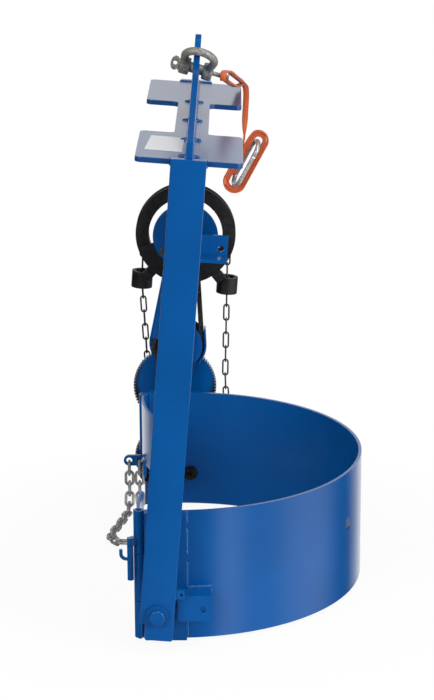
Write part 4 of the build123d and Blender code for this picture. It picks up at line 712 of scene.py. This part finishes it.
print("holder weld faces", len(holder_welds.data.polygons))

# %% [markdown]
# ## Blank label
# A plain white label with rounded corners lies on the front lobe of the top plate, with nothing printed on
# it. It is a thin slab of its own, because a patch in the paint's material would have no edge to catch the
# light.


# %% Label
def rounded_slab(name, corners, rise, radius, steps=5):
    """A thin slab with rounded corners on four places, lifted along +Z."""
    build = bmesh.new()
    loop = []
    for index, corner in enumerate(corners):
        before, after = corners[index - 1], corners[(index + 1) % 4]
        first = corner + (before - corner).normalized() * radius
        last = corner + (after - corner).normalized() * radius
        for step in range(steps + 1):
            share = step / steps
            loop.append(first * (1 - share) ** 2 + corner * (2 * share * (1 - share)) + last * share ** 2)
    low = [build.verts.new(place) for place in loop]
    high = [build.verts.new(place + Vector((0, 0, rise))) for place in loop]
    build.faces.new(low[::-1])
    build.faces.new(high)
    for index in range(len(loop)):
        after = (index + 1) % len(loop)
        build.faces.new((low[index], low[after], high[after], high[index]))
    bmesh.ops.recalc_face_normals(build, faces=build.faces)
    mesh = bpy.data.meshes.new(name)
    build.to_mesh(mesh)
    build.free()
    return mesh


LABEL = [Vector((x, y, PLATE_TOP + 0.00002)) for x, y in
         ((-0.0107, -0.2770), (-0.0646, -0.2750), (-0.0581, -0.1671), (-0.0095, -0.1719))]
label = new_piece("blank_label", rounded_slab("blank_label", LABEL, 0.0003, 0.002), "yoke", blank_label)
print("label faces", len(label.data.polygons))

# %% [markdown]
# ## Floor and light
# The lifter stands level on a pale floor, so the floor is square to the band and not to the leaning yoke.
# For the camera the floor mostly glows, so that it runs into the white world with only faint shadows, and
# reflections pass through it. The world is white for the camera. For reflections it is white behind the
# lifter, as a studio sweep is, with a soft panel on the right, and dark above and behind the camera, which
# keeps the paint deep blue where it faces us. Three soft lamps give the shape.

# %% Floor
FLOOR_LEVEL, FLOOR_MIDDLE, FLOOR_RADIUS, FLOOR_SIDES = -62.6, 80, 760, 96
floor_centre = in_holder(FLOOR_MIDDLE, 0, FLOOR_LEVEL)


def pale_floor():
    material, shader, place, _ = finish_of("pale_floor")
    tree = material.node_tree
    grain = noise(place, 30.0, 2.0)
    feed(shader, place, grain.mix((0.90, 0.90, 0.90, 1.0), (0.93, 0.93, 0.93, 1.0)), 0.9, 0.0)
    shader.inputs["Specular IOR Level"].default_value = 0.0
    path = tree.nodes.new("ShaderNodeLightPath")
    glow = tree.nodes.new("ShaderNodeEmission")
    glow.inputs["Color"].default_value = (1.0, 1.0, 1.0, 1.0)
    blend = tree.nodes.new("ShaderNodeMixShader")
    offset = place.node("ShaderNodeVectorMath", {"operation": "SUBTRACT"}, {0: place, 1: floor_centre})
    away = place.node("ShaderNodeVectorMath", {"operation": "LENGTH"}, {0: offset}, output=1)
    seen = Wire(tree, path.outputs["Is Camera Ray"]) * (0.92 + away.between(0.30, 0.72) * 0.08)
    tree.links.new(seen.socket, blend.inputs[0])
    tree.links.new(shader.outputs[0], blend.inputs[1])
    tree.links.new(glow.outputs[0], blend.inputs[2])
    clear = tree.nodes.new("ShaderNodeBsdfTransparent")
    reflected = tree.nodes.new("ShaderNodeMixShader")
    tree.links.new(path.outputs["Is Glossy Ray"], reflected.inputs[0])
    tree.links.new(blend.outputs[0], reflected.inputs[1])
    tree.links.new(clear.outputs[0], reflected.inputs[2])
    tree.links.new(reflected.outputs[0], tree.nodes["Material Output"].inputs["Surface"])
    return material


build = bmesh.new()
rim = []
for step in range(FLOOR_SIDES):
    turn = step * 2 * pi / FLOOR_SIDES
    place = in_holder(FLOOR_MIDDLE + FLOOR_RADIUS * cos(turn), FLOOR_RADIUS * sin(turn), FLOOR_LEVEL)
    rim.append(build.verts.new(place))
build.faces.new(rim)
floor_mesh = bpy.data.meshes.new("floor")
build.to_mesh(floor_mesh)
build.free()
floor = bpy.data.objects.new("floor", floor_mesh)
floor_mesh.materials.append(pale_floor())
scene.collection.objects.link(floor)
print("floor", 2 * FLOOR_RADIUS, "mm across")

# %% World
world = bpy.data.worlds.new("studio")
world.use_nodes = True
scene.world = world
tree = world.node_tree
backdrop = tree.nodes["Background"]
heading = Wire(tree, tree.nodes.new("ShaderNodeTexCoord").outputs["Generated"])
aside = heading.node("ShaderNodeSeparateXYZ", None, {0: heading})
behind = Wire(tree, aside.socket.node.outputs[1])
above = Wire(tree, aside.socket.node.outputs[2])
back_wall = behind.between(0.62, 0.92) * (1 - above.between(0.34, 0.60))
panel_fall = 1 - aside.between(0.56, 0.70) * 0.7 + aside.between(0.82, 0.95) * 0.5
panel_edge = aside.between(0.37, 0.46) * panel_fall
right_panel = panel_edge * (1 - behind.between(0.0, 0.6)) * (1 - above.between(-0.1, 0.3))
WALL_LIGHT, PANEL_LIGHT, DARK_LIGHT, FILL_LIGHT = 0.92, 1.20, 0.006, 0.40
sweep_light = back_wall * WALL_LIGHT + right_panel * PANEL_LIGHT + DARK_LIGHT
rays = tree.nodes.new("ShaderNodeLightPath")
camera_ray = Wire(tree, rays.outputs["Is Camera Ray"])
glossy_ray = Wire(tree, rays.outputs["Is Glossy Ray"])
clear_ray = Wire(tree, rays.outputs["Is Transmission Ray"])
direct = camera_ray.math("MAXIMUM", camera_ray, clear_ray)
level = direct + (1 - direct) * (glossy_ray * sweep_light + (1 - glossy_ray) * FILL_LIGHT)
tree.links.new(level.socket, backdrop.inputs["Strength"])
backdrop.inputs["Color"].default_value = (1.0, 1.0, 1.0, 1.0)
print("world nodes", len(tree.nodes))


# %% Lamps
def lamp(name, place, aim, size, power):
    """A round soft lamp that points at the aim."""
    data = bpy.data.lights.new(name, "AREA")
    data.shape, data.size, data.energy = "DISK", size, power
    lamp_object = bpy.data.objects.new(name, data)
    lamp_object.location = place
    lamp_object.rotation_euler = (Vector(aim) - Vector(place)).to_track_quat("-Z", "Y").to_euler()
    scene.collection.objects.link(lamp_object)


lamp("front_left", (-1.7, -2.5, 0.9), (0.0, -0.1, -0.5), 1.4, 32.0)
lamp("front_right", (2.3, -1.9, 0.5), (0.1, 0.0, -0.6), 1.6, 52.0)
lamp("overhead", (0.4, -1.1, 2.4), (0.1, 0.1, -0.5), 1.8, 30.0)
scene.view_settings.view_transform = "Standard"
print("lamps ready")

# %% [markdown]
# The webbing leaves the shackle pin's tail and ends at the carabiner.

# %% Last update of the scene
bpy.context.view_layer.update()
